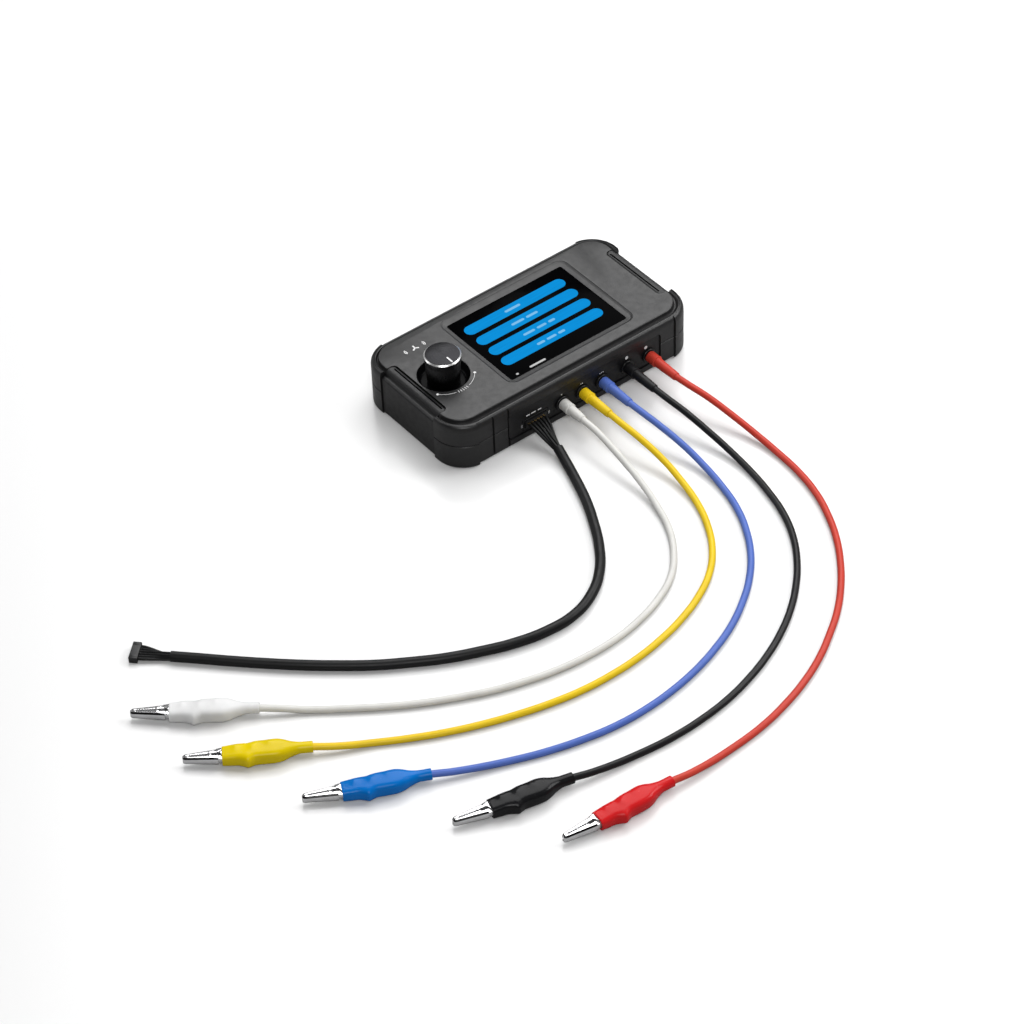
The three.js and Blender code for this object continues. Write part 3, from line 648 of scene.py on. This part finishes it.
def seam_rings(outline, side):
    """The softened edge at the covers' joint, above it (side 1) or below it (side -1)."""
    return [case_ring(outline, 0.15, SPLIT_Z + side * 0.15),
            case_ring(outline, 0.0, SPLIT_Z + side * 0.3)]


def upper_rings(outline, crest):
    """The upper shell's outside, from the split up to the crest of the shoulder."""
    shoulder = arc(1.7, 0, 1.7, 180, 90, steps=10)
    return seam_rings(outline, 1) + [
        case_ring(outline, distance, crest - 2.8 + rise * 2.8 / 1.7) for distance, rise in shoulder]


def upper_walls():
    rings = upper_rings(WALL, RIM_Z)
    groove = [(1.8, RIM_Z - 0.03), (2.1, RIM_Z - 0.15), (2.5, RIM_Z - 0.45), (3.1, RIM_Z - 1.05),
              (3.5, GROOVE_Z - 0.1), (3.75, GROOVE_Z - 0.1), (4.0, GROOVE_Z + 0.25),
              (4.2, GROOVE_Z + 0.75)]
    edge = arc(4.95, TOP_Z - 0.7, 0.7, 170, 90, steps=6)
    rings += [case_ring(WALL, distance, z) for distance, z in groove + edge]
    return loft("top_shell", rings)


def corner_zones(obj, z0, z1):
    """Keeps only a guard's four corners."""
    far = 70.0
    zones = [block("zone", *sorted((sx * GUARD_X, sx * far)), *sorted((sy * GUARD_Y, sy * far)),
                   z0, z1) for sx, sy in CORNERS]
    return keep(obj, join(zones[0], *zones[1:]))


def upper_guards():
    rings = upper_rings(GUARD, RIM_Z + 0.12)
    rings.append(rounded(*inset(GUARD, 3.4, 3.4), 14.0, steps=20))
    return corner_zones(loft("guards", rings), SPLIT_Z, TOP_Z)


def lower_rings(outline, bottom):
    """The lower shell's outside, from the split down to the round at its foot."""
    foot = arc(1.3, bottom + 1.3, 1.3, 180, 270, steps=7)
    return seam_rings(outline, -1) + [case_ring(outline, distance, z) for distance, z in foot]


def well_bowl():
    profile = [(0, 17.6), (8.0, 17.6), *arc(8.0, 19.4, 1.8, -90, -15, steps=6),
               (10.1, TOP_Z - 0.7), *arc(WELL_R + 0.3, TOP_Z - 0.3, 0.3, 180, 100, steps=4),
               (WELL_R + 0.35, TOP_Z + 2), (0, TOP_Z + 2)]
    return turned("bowl", profile, KNOB_AXIS, segments=96)


def screen_opening():
    """The glass's pocket, a lip over the glass's edge, a shallow band and a step up around it."""
    half_x, half_y = SCREEN_HALF.x + GAP, SCREEN_HALF.y + GAP
    rings = [rounded(half_x, half_y, 0.8, z, SCREEN.x, SCREEN.y)
             for z in (16.0, LENS_HIGH.z + 0.02)]
    lip, band = LENS_HIGH.z + 0.03, TOP_Z - 0.46
    rim = [(0.0, lip), (0.0, lip + 0.05), (0.62, band), (0.66, band + 0.01),
           (0.98, TOP_Z - 0.1), (1.0, TOP_Z + 0.03), (1.0, TOP_Z + 2)]
    inner, outer = Vector(SURROUND_INNER), Vector(SURROUND_OUTER)
    for share, z in rim:
        grow_x, grow_y, shift_x, shift_y, radius = inner.lerp(outer, share)
        rings.append(rounded(half_x + grow_x, half_y + grow_y, radius, z,
                             SCREEN.x + shift_x, SCREEN.y + shift_y))
    return loft("screen_opening", rings)


def end_bed(side, extra=0.0):
    """The space that an end panel fills: along the top edge, then down the wall."""
    x0 = END_X - extra
    top = prism("end_bed", 10, END_HALF_Y + extra, 2.0, GROOVE_Z - 0.1 - extra, TOP_Z + 3,
                side * (x0 + 10))
    wall = [side * (END_WALL_X - extra), side * 70]
    return join(top, block("end_wall", *sorted(wall), -END_HALF_Y - extra, END_HALF_Y + extra,
                           -1, TOP_Z + 3))


def panel_opening(extra, y0, y1):
    low, high = PANEL_LOW, PANEL_HIGH
    flat = rounded((high.x - low.x) / 2 + extra, (high.z - low.z) / 2 + extra, 1.6, 0,
                   (high.x + low.x) / 2, (high.z + low.z) / 2)
    return extruded("panel_opening", [(x, y) for x, y, _ in flat], y0, y1, plane="XZ")


def wall_groove(x):
    """An upright V-shaped groove, with soft lips."""
    face = -WALL[1]
    outline = [(x - 0.95, face - 0.3), (x - 0.5, face + 0.02), (x - 0.24, face + 0.75),
               (x + 0.24, face + 0.75), (x + 0.5, face + 0.02), (x + 0.95, face - 0.3)]
    return extruded("wall_groove", outline, -1, TOP_Z + 1)


def shell_cuts():
    cuts = [end_bed(side, GAP) for side in (-1, 1)]
    cuts.append(panel_opening(GAP, -40, -28))
    cuts += [wall_groove(x) for x in WALL_GROOVES]
    return cuts


def build_top_shell():
    shell = join(upper_walls(), upper_guards())
    cut(shell, prism("cavity", *CAVITY, 5, 17.8), prism("high_cavity", 51.5, 24.5, 6.0, 17, 19.2))
    join(shell, rod("boss", 11.5, 16.2, 20.0, KNOB_AXIS))
    cut(shell, well_bowl(), rod("bush", 4.6, 15, 19, KNOB_AXIS), screen_opening(), *shell_cuts())
    piece(shell, SHELL, replaces=["top_cover"])
    # The well's faces take the darker, almost glossless plastic: painted shade in the recess.
    shell.data.materials.append(WELL)
    for polygon in shell.data.polygons:
        away = (polygon.center / MM - KNOB).xy.length
        if away < WELL_R + 0.1 and polygon.center.z > 17.5 * MM:
            polygon.material_index = 1


def build_bottom_shell():
    shell = loft("bottom_shell", lower_rings(WALL, BASE_Z))
    join(shell, corner_zones(loft("feet", lower_rings(GUARD, 0.0)), -1, SPLIT_Z))
    cut(shell, prism("cavity", *CAVITY, 3.3, SPLIT_Z + 2))
    screw_hole = [(0, -1), (3.2, -1), (2.9, 0.3), (2.9, 4.3), (1.5, 4.3), (1.5, 14), (0, 14)]
    for sx, sy in CORNERS:
        centre = (sx * SCREW_X, sy * SCREW_Y, 0)
        join(shell, rod("boss", 3.3, 1.5, 11.0, centre))
        cut(shell, turned("screw_hole", screw_hole, centre))
    cut(shell, *shell_cuts())
    piece(shell, SHELL, replaces=["bottom_cover"])


def end_profile():
    """Section of an end panel: slotted bar, groove, ridge and a wide round down the wall."""
    outer = WALL[0]
    bar = TOP_Z - 0.2
    return [(END_X, GROOVE_Z + 0.2), (END_X, 20.65), (END_X + 0.15, 20.85), (53.3, bar - 0.08),
            (53.7, bar), *arc(55.6, bar - 0.8, 0.8, 90, 25, steps=5), (56.75, 20.4), (57.1, 19.6),
            (57.45, 18.9), (57.8, 18.62), (58.1, 18.62), *arc(58.1, 17.5, 1.1, 80, 0, steps=8),
            (outer, 2.0), *arc(outer - 0.9, BASE_Z + 0.9, 0.9, 0, -90, steps=5),
            (END_WALL_X, BASE_Z), (END_WALL_X, GROOVE_Z + 0.2)]


def build_end_panel(side, name):
    outline = [(side * x, z) for x, z in end_profile()]
    panel = extruded(f"{name}_trim", outline, -END_HALF_Y, END_HALF_Y, plane="XZ")
    keep(panel, end_bed(side))
    cut(panel, prism("slot", 0.35, SLOT_HALF, 0.34, GROOVE_Z + 0.4, TOP_Z + 1, side * SLOT_X))
    piece(soften(panel, 0.12), TRIM, replaces=[name])


def build_socket_plate():
    front, back = PANEL_LOW.y, PANEL_HIGH.y
    plate = panel_opening(0.0, front, back)
    hole = [(0, front - 1), (3.2, front - 1), (2.8, front + 0.4), (2.8, back + 1), (0, back + 1)]
    for name in LEADS:
        cut(plate, turned("jack_hole", hole, jack_place(name), along="Y"))
    low, high = box_mm("sensor_socket")
    cut(plate, block("window", low.x - GAP, high.x + GAP, -40, -25, low.z - GAP, high.z + GAP))
    piece(soften(plate, 0.15), TRIM, replaces=["socket_panel"])


build_top_shell()
build_bottom_shell()
build_end_panel(-1, "end_panel_left")
build_end_panel(1, "end_panel_right")
build_socket_plate()


# ---- Knob ---------------------------------------------------------------------------
def knurled_grip():
    """The knob's side: crossed knurling that fades out towards the foot and the head."""
    bottom, top = KNOB_LOW.z, KNOB_HIGH.z - KNOB_HEAD
    around, rows, ridges = 336, 84, 42
    rings = []
    for j in range(rows + 1):
        t = j / rows
        z = bottom + (top - bottom) * t
        radius = KNOB_R - 0.55 * (1 - t) ** 1.5
        fade = max(0.0, min(1.0, (t - 0.1) * 8, (0.97 - t) * 12))
        lean = (z - bottom) / KNOB_R
        ring = []
        for i in range(around):
            a = 2 * math.pi * i / around
            crossed = math.cos(ridges * (a + lean)) * math.cos(ridges * (a - lean))
            r = radius - 0.16 * fade * (0.5 - 0.5 * crossed)
            ring.append((KNOB.x + r * math.cos(a), KNOB.y + r * math.sin(a), z))
        rings.append(ring)
    return loft("knob_grip", rings)


def build_knob():
    """The knurled grip, then the turned head, its bright cut edge and its spun top."""
    top, rim = KNOB_HIGH.z, KNOB_RIM
    neck = top - KNOB_HEAD
    piece(knurled_grip(), KNOB_SIDE, "knob", ["knob"], sharp=60)
    for name, material, profile in (
            ("knob_head", KNOB_SIDE, [
                (0, neck), (KNOB_R, neck), *arc(rim - 0.2, top - 2.0, 0.2, -60, 0, steps=3),
                (rim, top - 0.75), (rim - 0.5, top - 0.75), (rim - 0.5, top - 0.1),
                (0, top - 0.1)]),
            ("knob_edge", KNOB_EDGE, [
                (0, top - 0.72), (rim - 0.03, top - 0.72), (rim, top - 0.66),
                (rim - 0.52, top - 0.12), (rim - 0.6, top - 0.1), (0, top - 0.1)]),
            ("knob_cap", KNOB_TOP, [
                (0, top - 0.09), (rim - 0.62, top - 0.09), (rim - 0.64, top - 0.03),
                (rim - 0.75, top), (0, top)])):
        piece(turned(name, profile, KNOB_AXIS, segments=128), material, "knob")
    index = prism("knob_index", 0.33, 1.8, 0.3, top - 0.05, top + PROUD, KNOB.x, KNOB.y - 4.6)
    piece(index, PRINT, "knob")


# ---- Screen -------------------------------------------------------------------------
def pill(name, x, y, width, half, z, material):
    """A lit bar with round ends that starts at x, just proud of the surface it is shown on."""
    bar = prism(name, width / 2, half, half * 0.999, z, z + PROUD, x + width / 2, y)
    piece(bar, material)


def build_screen():
    """The window, four menu bars with dashes for words, and a dash and a dot for status."""
    lens = prism("screen_window", SCREEN_HALF.x, SCREEN_HALF.y, 0.8, LENS_LOW.z, LENS_HIGH.z,
                 SCREEN.x, SCREEN.y)
    piece(soften(lens, 0.12), GLASS, replaces=["screen_lens"])
    z = LENS_HIGH.z
    bars = ((14.7, 2.6, (7.6,)), (6.8, -0.2, (6.2, 5.6)), (-1.0, -0.4, (5.6, 4.6, 3.2)),
            (-8.8, 0.2, (3.8, 4.6, 3.2)))
    for number, (y, shift, words) in enumerate(bars, 1):
        pill(f"menu_bar_{number}", SCREEN.x - 25.0, y, 49.5, 2.75, z, BAR_BLUE)
        x = SCREEN.x - 8.0 + shift
        for part, width in enumerate(words, 1):
            pill(f"menu_mark_{number}_{part}", x, y, width, 0.62, z + PROUD, BAR_LABEL)
            x += width + 1.1
    for number, (x, width) in enumerate(((-12.9, 7.8), (-19.6, 1.2)), 1):
        pill(f"status_mark_{number}", x, -17.4, width, 0.5, z, DISPLAY_WHITE)


# ---- Print on the case --------------------------------------------------------------
def strip(name, points, width):
    """A thin printed line through points on the case's top, with square ends."""
    rings = []
    path = [Vector((x, y, TOP_Z)) for x, y in points]
    low, high = Vector((0, 0, -0.025)), Vector((0, 0, 0.025))
    for i, p in enumerate(path):
        ahead = (path[min(i + 1, len(path) - 1)] - path[max(i - 1, 0)]).normalized()
        side = Vector((-ahead.y, ahead.x, 0)) * (width / 2)
        rings.append([p - side + low, p + side + low, p + side + high, p - side + high])
    piece(loft(name, rings), PRINT)


def wall_mark(name, x, z, radius):
    """A printed dot on the socket plate."""
    low, high = PANEL_LOW.y - PROUD, PANEL_LOW.y + PROUD
    profile = [(0, high), (radius, high), (radius, low), (0, low)]
    piece(turned(name, profile, (x, 0, z), along="Y", segments=24), PRINT)


def build_wall_print():
    """A plain mark over each socket."""
    wall_mark("mark_black", 24.6, 13.2, 0.75)
    wall_mark("mark_red", 34.3, 13.1, 0.75)
    for name, count in (("white", 1), ("yellow", 2), ("blue", 3)):
        for i in range(count):
            place = jack_place(name)[0] + (i - (count - 1) / 2) * 0.8
            wall_mark(f"mark_{name}_{i + 1}", place, 12.6, 0.24)
    for number, (x, width) in enumerate(((-24.6, 1.7), (-22.0, 2.2), (-18.9, 1.7)), 1):
        dash = block(f"mark_sensor_{number}", x - width / 2, x + width / 2,
                     PANEL_LOW.y - PROUD, PANEL_LOW.y + PROUD, 11.25, 11.75)
        piece(dash, PRINT)


def build_print():
    """A level arc beside the knob with end dots and ticks, and three small plain icons."""
    centre, radius, first, last = (KNOB.x, KNOB.y), 12.1, 222, 324
    for number, (start, end) in enumerate(((first, 257), (288, last)), 1):
        strip(f"dial_arc_{number}", arc(*centre, radius, start, end, steps=12), 0.17)
    for number, degrees in enumerate((first, last), 1):
        place = (*polar(*centre, radius, degrees), TOP_Z)
        dot = rod(f"dial_dot_{number}", 0.55, -0.02, 0.03, place, segments=24)
        piece(dot, PRINT)
    for number, degrees in enumerate((262, 267, 272, 277, 282), 1):
        ends = [polar(*centre, radius + reach, degrees) for reach in (-0.6, 0.6)]
        strip(f"dial_tick_{number}", ends, 0.22)
    for number, (x, middle) in enumerate(((-44.1, 180), (-37.1, 0)), 1):
        for wave, reach in enumerate((0.7, 1.3), 1):
            sweep = arc(x, 19.8, reach, middle - 60, middle + 60)
            strip(f"icon_wave_{number}_{wave}", sweep, 0.32)
    hub = (-40.6, 19.6)
    for number, degrees in enumerate((90, 210, 330), 1):
        strip(f"icon_spoke_{number}", [hub, polar(*hub, 1.6, degrees)], 0.62)


# ---- Sockets and plugs --------------------------------------------------------------
def build_jack(name):
    face = JACK_FACE
    back = box_mm(f"jack_{name}")[1].y
    profile = [(0, back), (2.5, back), (2.5, face + 0.45), (3.05, face + 0.45),
               *arc(2.85, face + 0.2, 0.2, 0, -90, steps=3), (1.5, face), (1.3, face + 0.25),
               (1.3, back - 1.2), (0, back - 1.2)]
    jack = turned(f"jack_ring_{name}", profile, jack_place(name), along="Y")
    piece(jack, CONNECTOR, replaces=[f"jack_{name}"])


def build_plug(name):
    length = LEADS[name][0]
    back = PLUG_BACK
    collar = 3.9
    taper = back - length
    profile = [(0, back + 11.1), (0.7, back + 10.9), (1.0, back + 10.5), (1.0, back), (2.2, back),
               *arc(2.2, back - 0.2, 0.2, 90, 0, steps=3),
               (2.35, back - collar), (2.44, back - collar - 0.12), (2.44, back - collar - 0.5),
               (2.25, back - collar - 0.66), (2.02, back - collar - 0.75),
               (1.98, back - collar - 2.5), (1.72, taper + 0.5), (1.62, taper + 0.12),
               (1.45, taper), (0, taper)]
    plug = turned(f"plug_{name}", profile, jack_place(name), along="Y", segments=56)
    return piece(plug, PLUGS[name], replaces=[f"lead_plug_{name}"])


def build_sensor_socket():
    low, high = box_mm("sensor_socket")
    centre = (low + high) / 2
    plug_half = (SENSOR_PLUG_HIGH - SENSOR_PLUG_LOW) / 2
    body = block("sensor_shroud", low.x, high.x, low.y, high.y, low.z, high.z)
    cut(body, block("mouth", centre.x - plug_half.x - GAP, centre.x + plug_half.x + GAP,
                    low.y - 1, SENSOR_PLUG_HIGH.y + GAP, centre.z - plug_half.z - GAP,
                    centre.z + plug_half.z + GAP))
    soften(body, 0.15)
    piece(body, CONNECTOR, replaces=["sensor_socket"])
    for number, side in enumerate((-1, 1), 1):
        x = centre.x + side * (high.x - low.x + 1.4) / 2
        tab = block(f"socket_tab_{number}", x - 0.45, x + 0.45, low.y - 0.05, low.y + 0.3,
                    centre.z - 0.8, centre.z + 0.6)
        piece(soften(tab, 0.12), STEEL)


def housing(name, half, pitch, centre, matrix):
    """A six-way connector body: keyed ribs on its top and a row of wire entries behind."""
    body = block(name, -half.x, half.x, -half.y, half.y, -half.z, half.z)
    for x in six_rows(pitch):
        cut(body, block("entry", x - 0.5, x + 0.5, -half.y - 1, -half.y + 0.9, -0.6, 0.6))
    for side in (-1, 1):
        join(body, block("rib", side * half.x * 0.72 - 0.35, side * half.x * 0.72 + 0.35,
                         -half.y * 0.8, half.y * 0.9, half.z - 0.2, half.z + 0.12))
    soften(body, 0.1)
    body.data.transform(Matrix.Translation(centre) @ matrix)
    return body


def build_sensor_plugs():
    half = (SENSOR_PLUG_HIGH - SENSOR_PLUG_LOW) / 2 - Vector((0, 0, 0.12))
    near = housing("sensor_plug_body", half, PLUG_PITCH, SENSOR_PLUG, Matrix.Identity(4))
    piece(near, CONNECTOR, replaces=["sensor_plug"])
    pieces = [near]
    for i, x in enumerate(six_rows(PLUG_PITCH), 1):
        contact = block(f"crimp_near_{i}", SENSOR_PLUG.x + x - 0.42, SENSOR_PLUG.x + x + 0.42,
                        SENSOR_PLUG_LOW.y - 0.35, SENSOR_PLUG_LOW.y + 0.5,
                        SENSOR_PLUG.z + 0.42, SENSOR_PLUG.z + 0.56)
        pieces.append(piece(contact, GOLD))
    x, y, degrees = SENSOR_END
    turn = Matrix.Rotation(math.radians(degrees - 90), 4, "Z")
    far = housing("sensor_end_body", Vector((4.2, 1.6, 1.33)), END_PITCH, Vector((x, y, 1.45)),
                  turn)
    piece(far, CONNECTOR, replaces=["sensor_end_plug"])
    return pieces + [far]


# ---- Clips --------------------------------------------------------------------------
# Sections of the soft boot, from its tail to its mouth: distance, reach to each side,
# underside, top, and how square the section is.
BOOT = [
    (0.0, 2.1, -2.1, 1.0, 5.2, 2.0), (4.4, 2.1, -2.1, 1.0, 5.2, 2.0),
    (5.6, 2.25, -2.2, 0.85, 5.3, 2.1), (8.0, 3.1, -2.6, 0.45, 5.7, 2.4),
    (10.5, 4.3, -3.3, 0.1, 6.2, 2.9), (13.0, 4.95, -3.65, 0.02, 6.4, 3.2),
    (16.5, 5.15, -3.35, 0.0, 6.5, 3.2), (20.3, 5.25, -3.15, 0.0, 6.5, 3.2),
    (21.9, 5.95, -3.0, 0.0, 6.4, 2.9), (23.2, 6.6, -2.95, 0.0, 6.35, 2.6),
    (24.5, 5.8, -2.85, 0.02, 6.25, 2.9), (26.6, 4.95, -2.7, 0.15, 6.1, 3.2),
    (29.5, 4.75, -2.5, 0.3, 5.85, 3.2), (32.2, 4.6, -2.3, 0.5, 5.6, 3.2),
]
BOOT_KNOCKS = [(15.5, -0.6, 0.35), (21.5, 0.6, 0.4), (27.5, -0.2, 0.4)]  # where the clip shows
BOOT_SKIN = 0.55


def boot_section(u):
    """The boot's section at a distance from its tail, smoothly between the stated ones."""
    k = max(i for i, row in enumerate(BOOT) if row[0] <= u or i == 0)
    k = min(k, len(BOOT) - 2)
    a, b = BOOT[k], BOOT[k + 1]
    before, after = BOOT[max(k - 1, 0)], BOOT[min(k + 2, len(BOOT) - 1)]
    span = b[0] - a[0]
    t = (u - a[0]) / span
    values = []
    for i in range(1, 6):
        slope_a = (b[i] - before[i]) / max(b[0] - before[0], 0.01) * span
        slope_b = (after[i] - a[i]) / max(after[0] - a[0], 0.01) * span
        values.append((2 * t**3 - 3 * t**2 + 1) * a[i] + (t**3 - 2 * t**2 + t) * slope_a
                      + (3 * t**2 - 2 * t**3) * b[i] + (t**3 - t**2) * slope_b)
    return values


def boot_ring(u, skin=0.0):
    """A ring of the boot at a distance from its tail: its outside, or this far inside it."""
    sides = 44
    near, far, low, high, power = boot_section(min(u, BOOT_END))
    middle, centre = (near + far) / 2, (low + high) / 2
    half_v, half_z = (near - far) / 2 - skin, (high - low) / 2 - skin
    ring = []
    for i in range(sides):
        a = 2 * math.pi * i / sides
        c, s = math.cos(a), math.sin(a)
        v = middle + half_v * math.copysign(abs(c) ** (2 / power), c)
        z = centre + half_z * math.copysign(abs(s) ** (2 / power), s)
        if skin == 0 and s > 0:
            z += sum(h * math.exp(-((u - ku) ** 2 + (v - kv) ** 2) / 1.6)
                     for ku, kv, h in BOOT_KNOCKS)
        ring.append((u, v, z))
    return ring


def boot_shape(name):
    steps = 68
    tail = [boot_ring(1.4, 0.62), boot_ring(0.0, 0.62), boot_ring(0.0, 0.12)]
    outside = [boot_ring(0.12 + (BOOT_END - 0.24) * i / steps) for i in range(steps + 1)]
    mouth = [boot_ring(BOOT_END, 0.1), boot_ring(BOOT_END, 0.42)]
    inside = [boot_ring(u, BOOT_SKIN) for u in (32.0, 29.0, 26.0, 23.4, 20.0, 16.0, 12.6)]
    return loft(name, tail + outside + mouth + inside)


def sheet_channel(name, outline, hollow, z0, z1):
    """A folded sheet: the outline less a hollow that leaves a web and two flanges."""
    body = extruded(name, outline, z0, z1)
    return cut(body, extruded("hollow", hollow, z0 + SHEET, z1 - SHEET))


def pivot_hole():
    return rod("pivot_hole", 0.85, -1, 8, (*PIVOT, 0), segments=24)


def jaw_ring(u, web, lip, top, fold):
    """A U-shaped section of a jaw: a web at one side, folded over to two lips."""
    out = 1 if web > lip else -1
    low = JAW_Z[0]
    fold = min(fold, abs(web - lip) - 0.1)
    corners = [(top - fold, (90, 67, 45, 22, 0)), (low + fold, (0, -22, -45, -67, -90))]

    def painted_fold_shade(radius):
        return [(web - out * (fold - radius * math.cos(math.radians(a))),
                 z + radius * math.sin(math.radians(a))) for z, turn in corners for a in turn]
    outside, inside = painted_fold_shade(fold), painted_fold_shade(max(fold - SHEET, 0.05))
    section = [(lip, top), *outside, (lip, low), (lip, low + SHEET), *reversed(inside),
               (lip, top - SHEET)]
    return [(u, v, z) for v, z in section]


def jaw_front(name, start, web, fold, lip, valley, hollow):
    """The part of a jaw that shows: it narrows, with a hollow and then teeth along its lips."""
    tip, pitch = CLIP_TIP, 0.95
    teeth = int((tip - 1.2 - 36.6) / pitch * 2)
    stations = [(start, hollow), (35.6, hollow), (36.4, lip)]
    stations += [(36.6 + i * pitch / 2, valley if i % 2 else lip) for i in range(teeth)]
    stations += [(tip - 1.0, lip), (tip - 0.5, lip), (tip - 0.15, lip), (tip, lip)]
    rings = []
    for u, edge in stations:
        t = (u - start) / (tip - start)
        close = max(0.0, 1 - (tip - u) / 0.9) ** 2 * 0.55
        side = web[0] + (web[1] - web[0]) * t
        side += close if side < edge else -close
        rings.append(jaw_ring(u, side, edge, JAW_Z[1] - 0.5 * t - 0.5 * close, fold))
    return loft(name, rings)


def fixed_jaw(name):
    meet = PIVOT[1] - GAP / 2
    rear = [(12, -2.35), (24, -2.05), (31, -1.55), (34.3, -0.98), (34.3, 0.3), (33.8, 0.35),
            (32.9, 0.9), (32.3, 2.0), (31.6, 2.6), (30.6, 2.6), (29.8, 1.9), (29.0, 0.6),
            (27.5, -0.5), (24, -0.9), (12.4, -1.2)]
    hollow = [(11, -2.0), (24, -1.7), (31, -1.2), (35, -0.6), (35, 5), (11, 5)]
    jaw = join(sheet_channel(name, rear, hollow, *JAW_Z),
               jaw_front("front", 34.0, (-1.0, 0.0), 0.5, meet, meet - 0.4, meet - 0.3))
    return cut(jaw, pivot_hole())


def moving_jaw(name):
    meet = PIVOT[1] + GAP / 2
    rear = sheet_channel(name, [
        (35.5, 3.1), (34, 3.3), (31, 3.65), (26.5, 4.2), (22.8, 4.75), (22.4, 4.3), (24, 3.3),
        (27.5, 2.6), (29.3, 1.4), (29.6, 0.2), (31, -0.5), (32.4, 0.3), (32.8, 1.4), (35.5, 1.6)], [
        (36, 2.75), (31, 3.3), (26.5, 3.85), (22.8, 4.35), (20, 4.4), (20, -2), (36, -2)],
        *INNER_Z)
    jaw = join(rear, jaw_front("front", 33.6, (3.85, 2.3), 0.8, meet, meet + 0.4, meet + 0.9))
    return cut(jaw, pivot_hole())


def clip_matrix(name):
    x, y, degrees = LEADS[name][1]
    return Matrix.Translation((x, y, 0)) @ Matrix.Rotation(math.radians(degrees), 4, "Z")


def build_clip(name, boot, fixed, moving):
    """One clip, from copies of the three shapes, at the end of its lead."""
    pieces = []
    for shape, label, node, body, material, slot in (
            (boot, "boot", "clip_boot", "root", BOOTS[name], f"boot_{name}"),
            (fixed, "jaw_fixed", "clip_jaw_fixed", "root", CHROME, "clip_steel"),
            (moving, "jaw_moving", "clip_jaw_moving", f"jaw_{name}", CHROME, "clip_steel")):
        obj = placed(f"{label}_{name}", shape.data.copy())
        obj.data.transform(clip_matrix(name))
        pieces.append(piece(obj, material, body, [f"{node}_{name}"], sharp=40))
    for node in (f"clip_rivet_{name}", f"clip_spring_{name}"):
        pieces.append(recolour(node, CHROME))
    return pieces


def recolour(node, material):
    """A CAD node that stays, with a finished material."""
    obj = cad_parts[node]
    obj.data.materials.clear()
    obj.data.materials.append(material)
    return obj


def build_clips():
    boot = boot_shape("boot")
    fixed = soften(fixed_jaw("jaw_fixed"), 0.06)
    moving = soften(moving_jaw("jaw_moving"), 0.06)
    clips = {name: build_clip(name, boot, fixed, moving) for name in LEADS}
    for shape in (boot, fixed, moving):
        bpy.data.objects.remove(shape)
    return clips


# ---- Inside and below ---------------------------------------------------------------
def build_inner():
    recolour("lcd_module", moulded("module_grey", (0.2, 0.2, 0.21), 0.4))
    recolour("main_board", moulded("board_green", (0.01, 0.09, 0.03), 0.4, mottle=0.3))
    recolour("encoder_body", STEEL)
    recolour("encoder_shaft", STEEL)
    recolour("switch_plunger", moulded("plunger_white", (0.6, 0.6, 0.56), 0.4))
    for number in range(1, 5):
        recolour(f"case_screw_{number}", STEEL)


build_knob()
build_screen()
build_print()
build_wall_print()
for lead in LEADS:
    build_jack(lead)
PLUG_PIECES = {name: build_plug(name) for name in LEADS}
build_sensor_socket()
SENSOR_PIECES = build_sensor_plugs()
CLIP_PIECES = build_clips()
build_inner()

for name, cord in CORD_PIECES.items():
    x, y, z = jack_place(name)


# ---- Floor, light and world ---------------------------------------------------------
def grey(value):
    return (value, value, value, 1)


def seen_and_lit(owner, output, seen, lit):
    """Gives a material or a world one shader that the camera sees, and one that lights the object.

    Each shader is its node's kind and that node's inputs.
    """
    owner.use_nodes = True
    tree = owner.node_tree
    tree.nodes.clear()
    mix = tree.nodes.new("ShaderNodeMixShader")
    path = tree.nodes.new("ShaderNodeLightPath")
    tree.links.new(path.outputs["Is Camera Ray"], mix.inputs[0])
    for socket, (kind, inputs) in ((1, lit), (2, seen)):
        shader = tree.nodes.new(kind)
        for name, value in inputs.items():
            shader.inputs[name].default_value = value
        tree.links.new(shader.outputs[0], mix.inputs[socket])
    tree.links.new(mix.outputs[0], tree.nodes.new(output).inputs["Surface"])


def build_floor():
    bm = bmesh.new()
    bmesh.ops.create_grid(bm, x_segments=8, y_segments=8, size=4.0)
    floor = made("floor", bm)
    paper = bpy.data.materials.new("floor_paper")
    pale = {"Base Color": grey(0.83), "Roughness": 0.2, "Specular IOR Level": 0.45}
    seen_and_lit(paper, "ShaderNodeOutputMaterial", ("ShaderNodeBsdfPrincipled", pale),
                 ("ShaderNodeBsdfDiffuse", {"Color": grey(0.38)}))
    floor.data.materials.append(paper)


def build_world():
    world = bpy.data.worlds.new("studio")
    seen_and_lit(world, "ShaderNodeOutputWorld",
                 ("ShaderNodeBackground", {"Color": grey(1.0)}),
                 ("ShaderNodeBackground", {"Color": grey(1.0), "Strength": 0.05}))
    bpy.context.scene.world = world


def area_light(name, place, target, size, power):
    data = bpy.data.lights.new(name, "AREA")
    data.shape = "RECTANGLE"
    data.size, data.size_y = size
    data.energy = power
    lamp = placed(name, data)
    lamp.location = place
    lamp.rotation_mode = "QUATERNION"
    lamp.rotation_quaternion = (Vector(target) - Vector(place)).to_track_quat("-Z", "Y")


def build_light():
    area_light("overhead", (0.5, 0.42, 1.05), (0.0, -0.04, 0), (1.0, 1.3), 15)
    area_light("right", (0.8, -0.45, 0.72), (-0.02, -0.05, 0), (0.7, 0.5), 7)
    area_light("back_left", (-0.6, 0.8, 0.66), (-0.03, -0.02, 0), (0.7, 0.5), 3.2)
    area_light("front", (-0.6, -0.85, 0.95), (-0.05, -0.06, 0), (0.6, 0.6), 7)
    bpy.context.scene.view_settings.view_transform = "Standard"


build_floor()
build_world()
build_light()
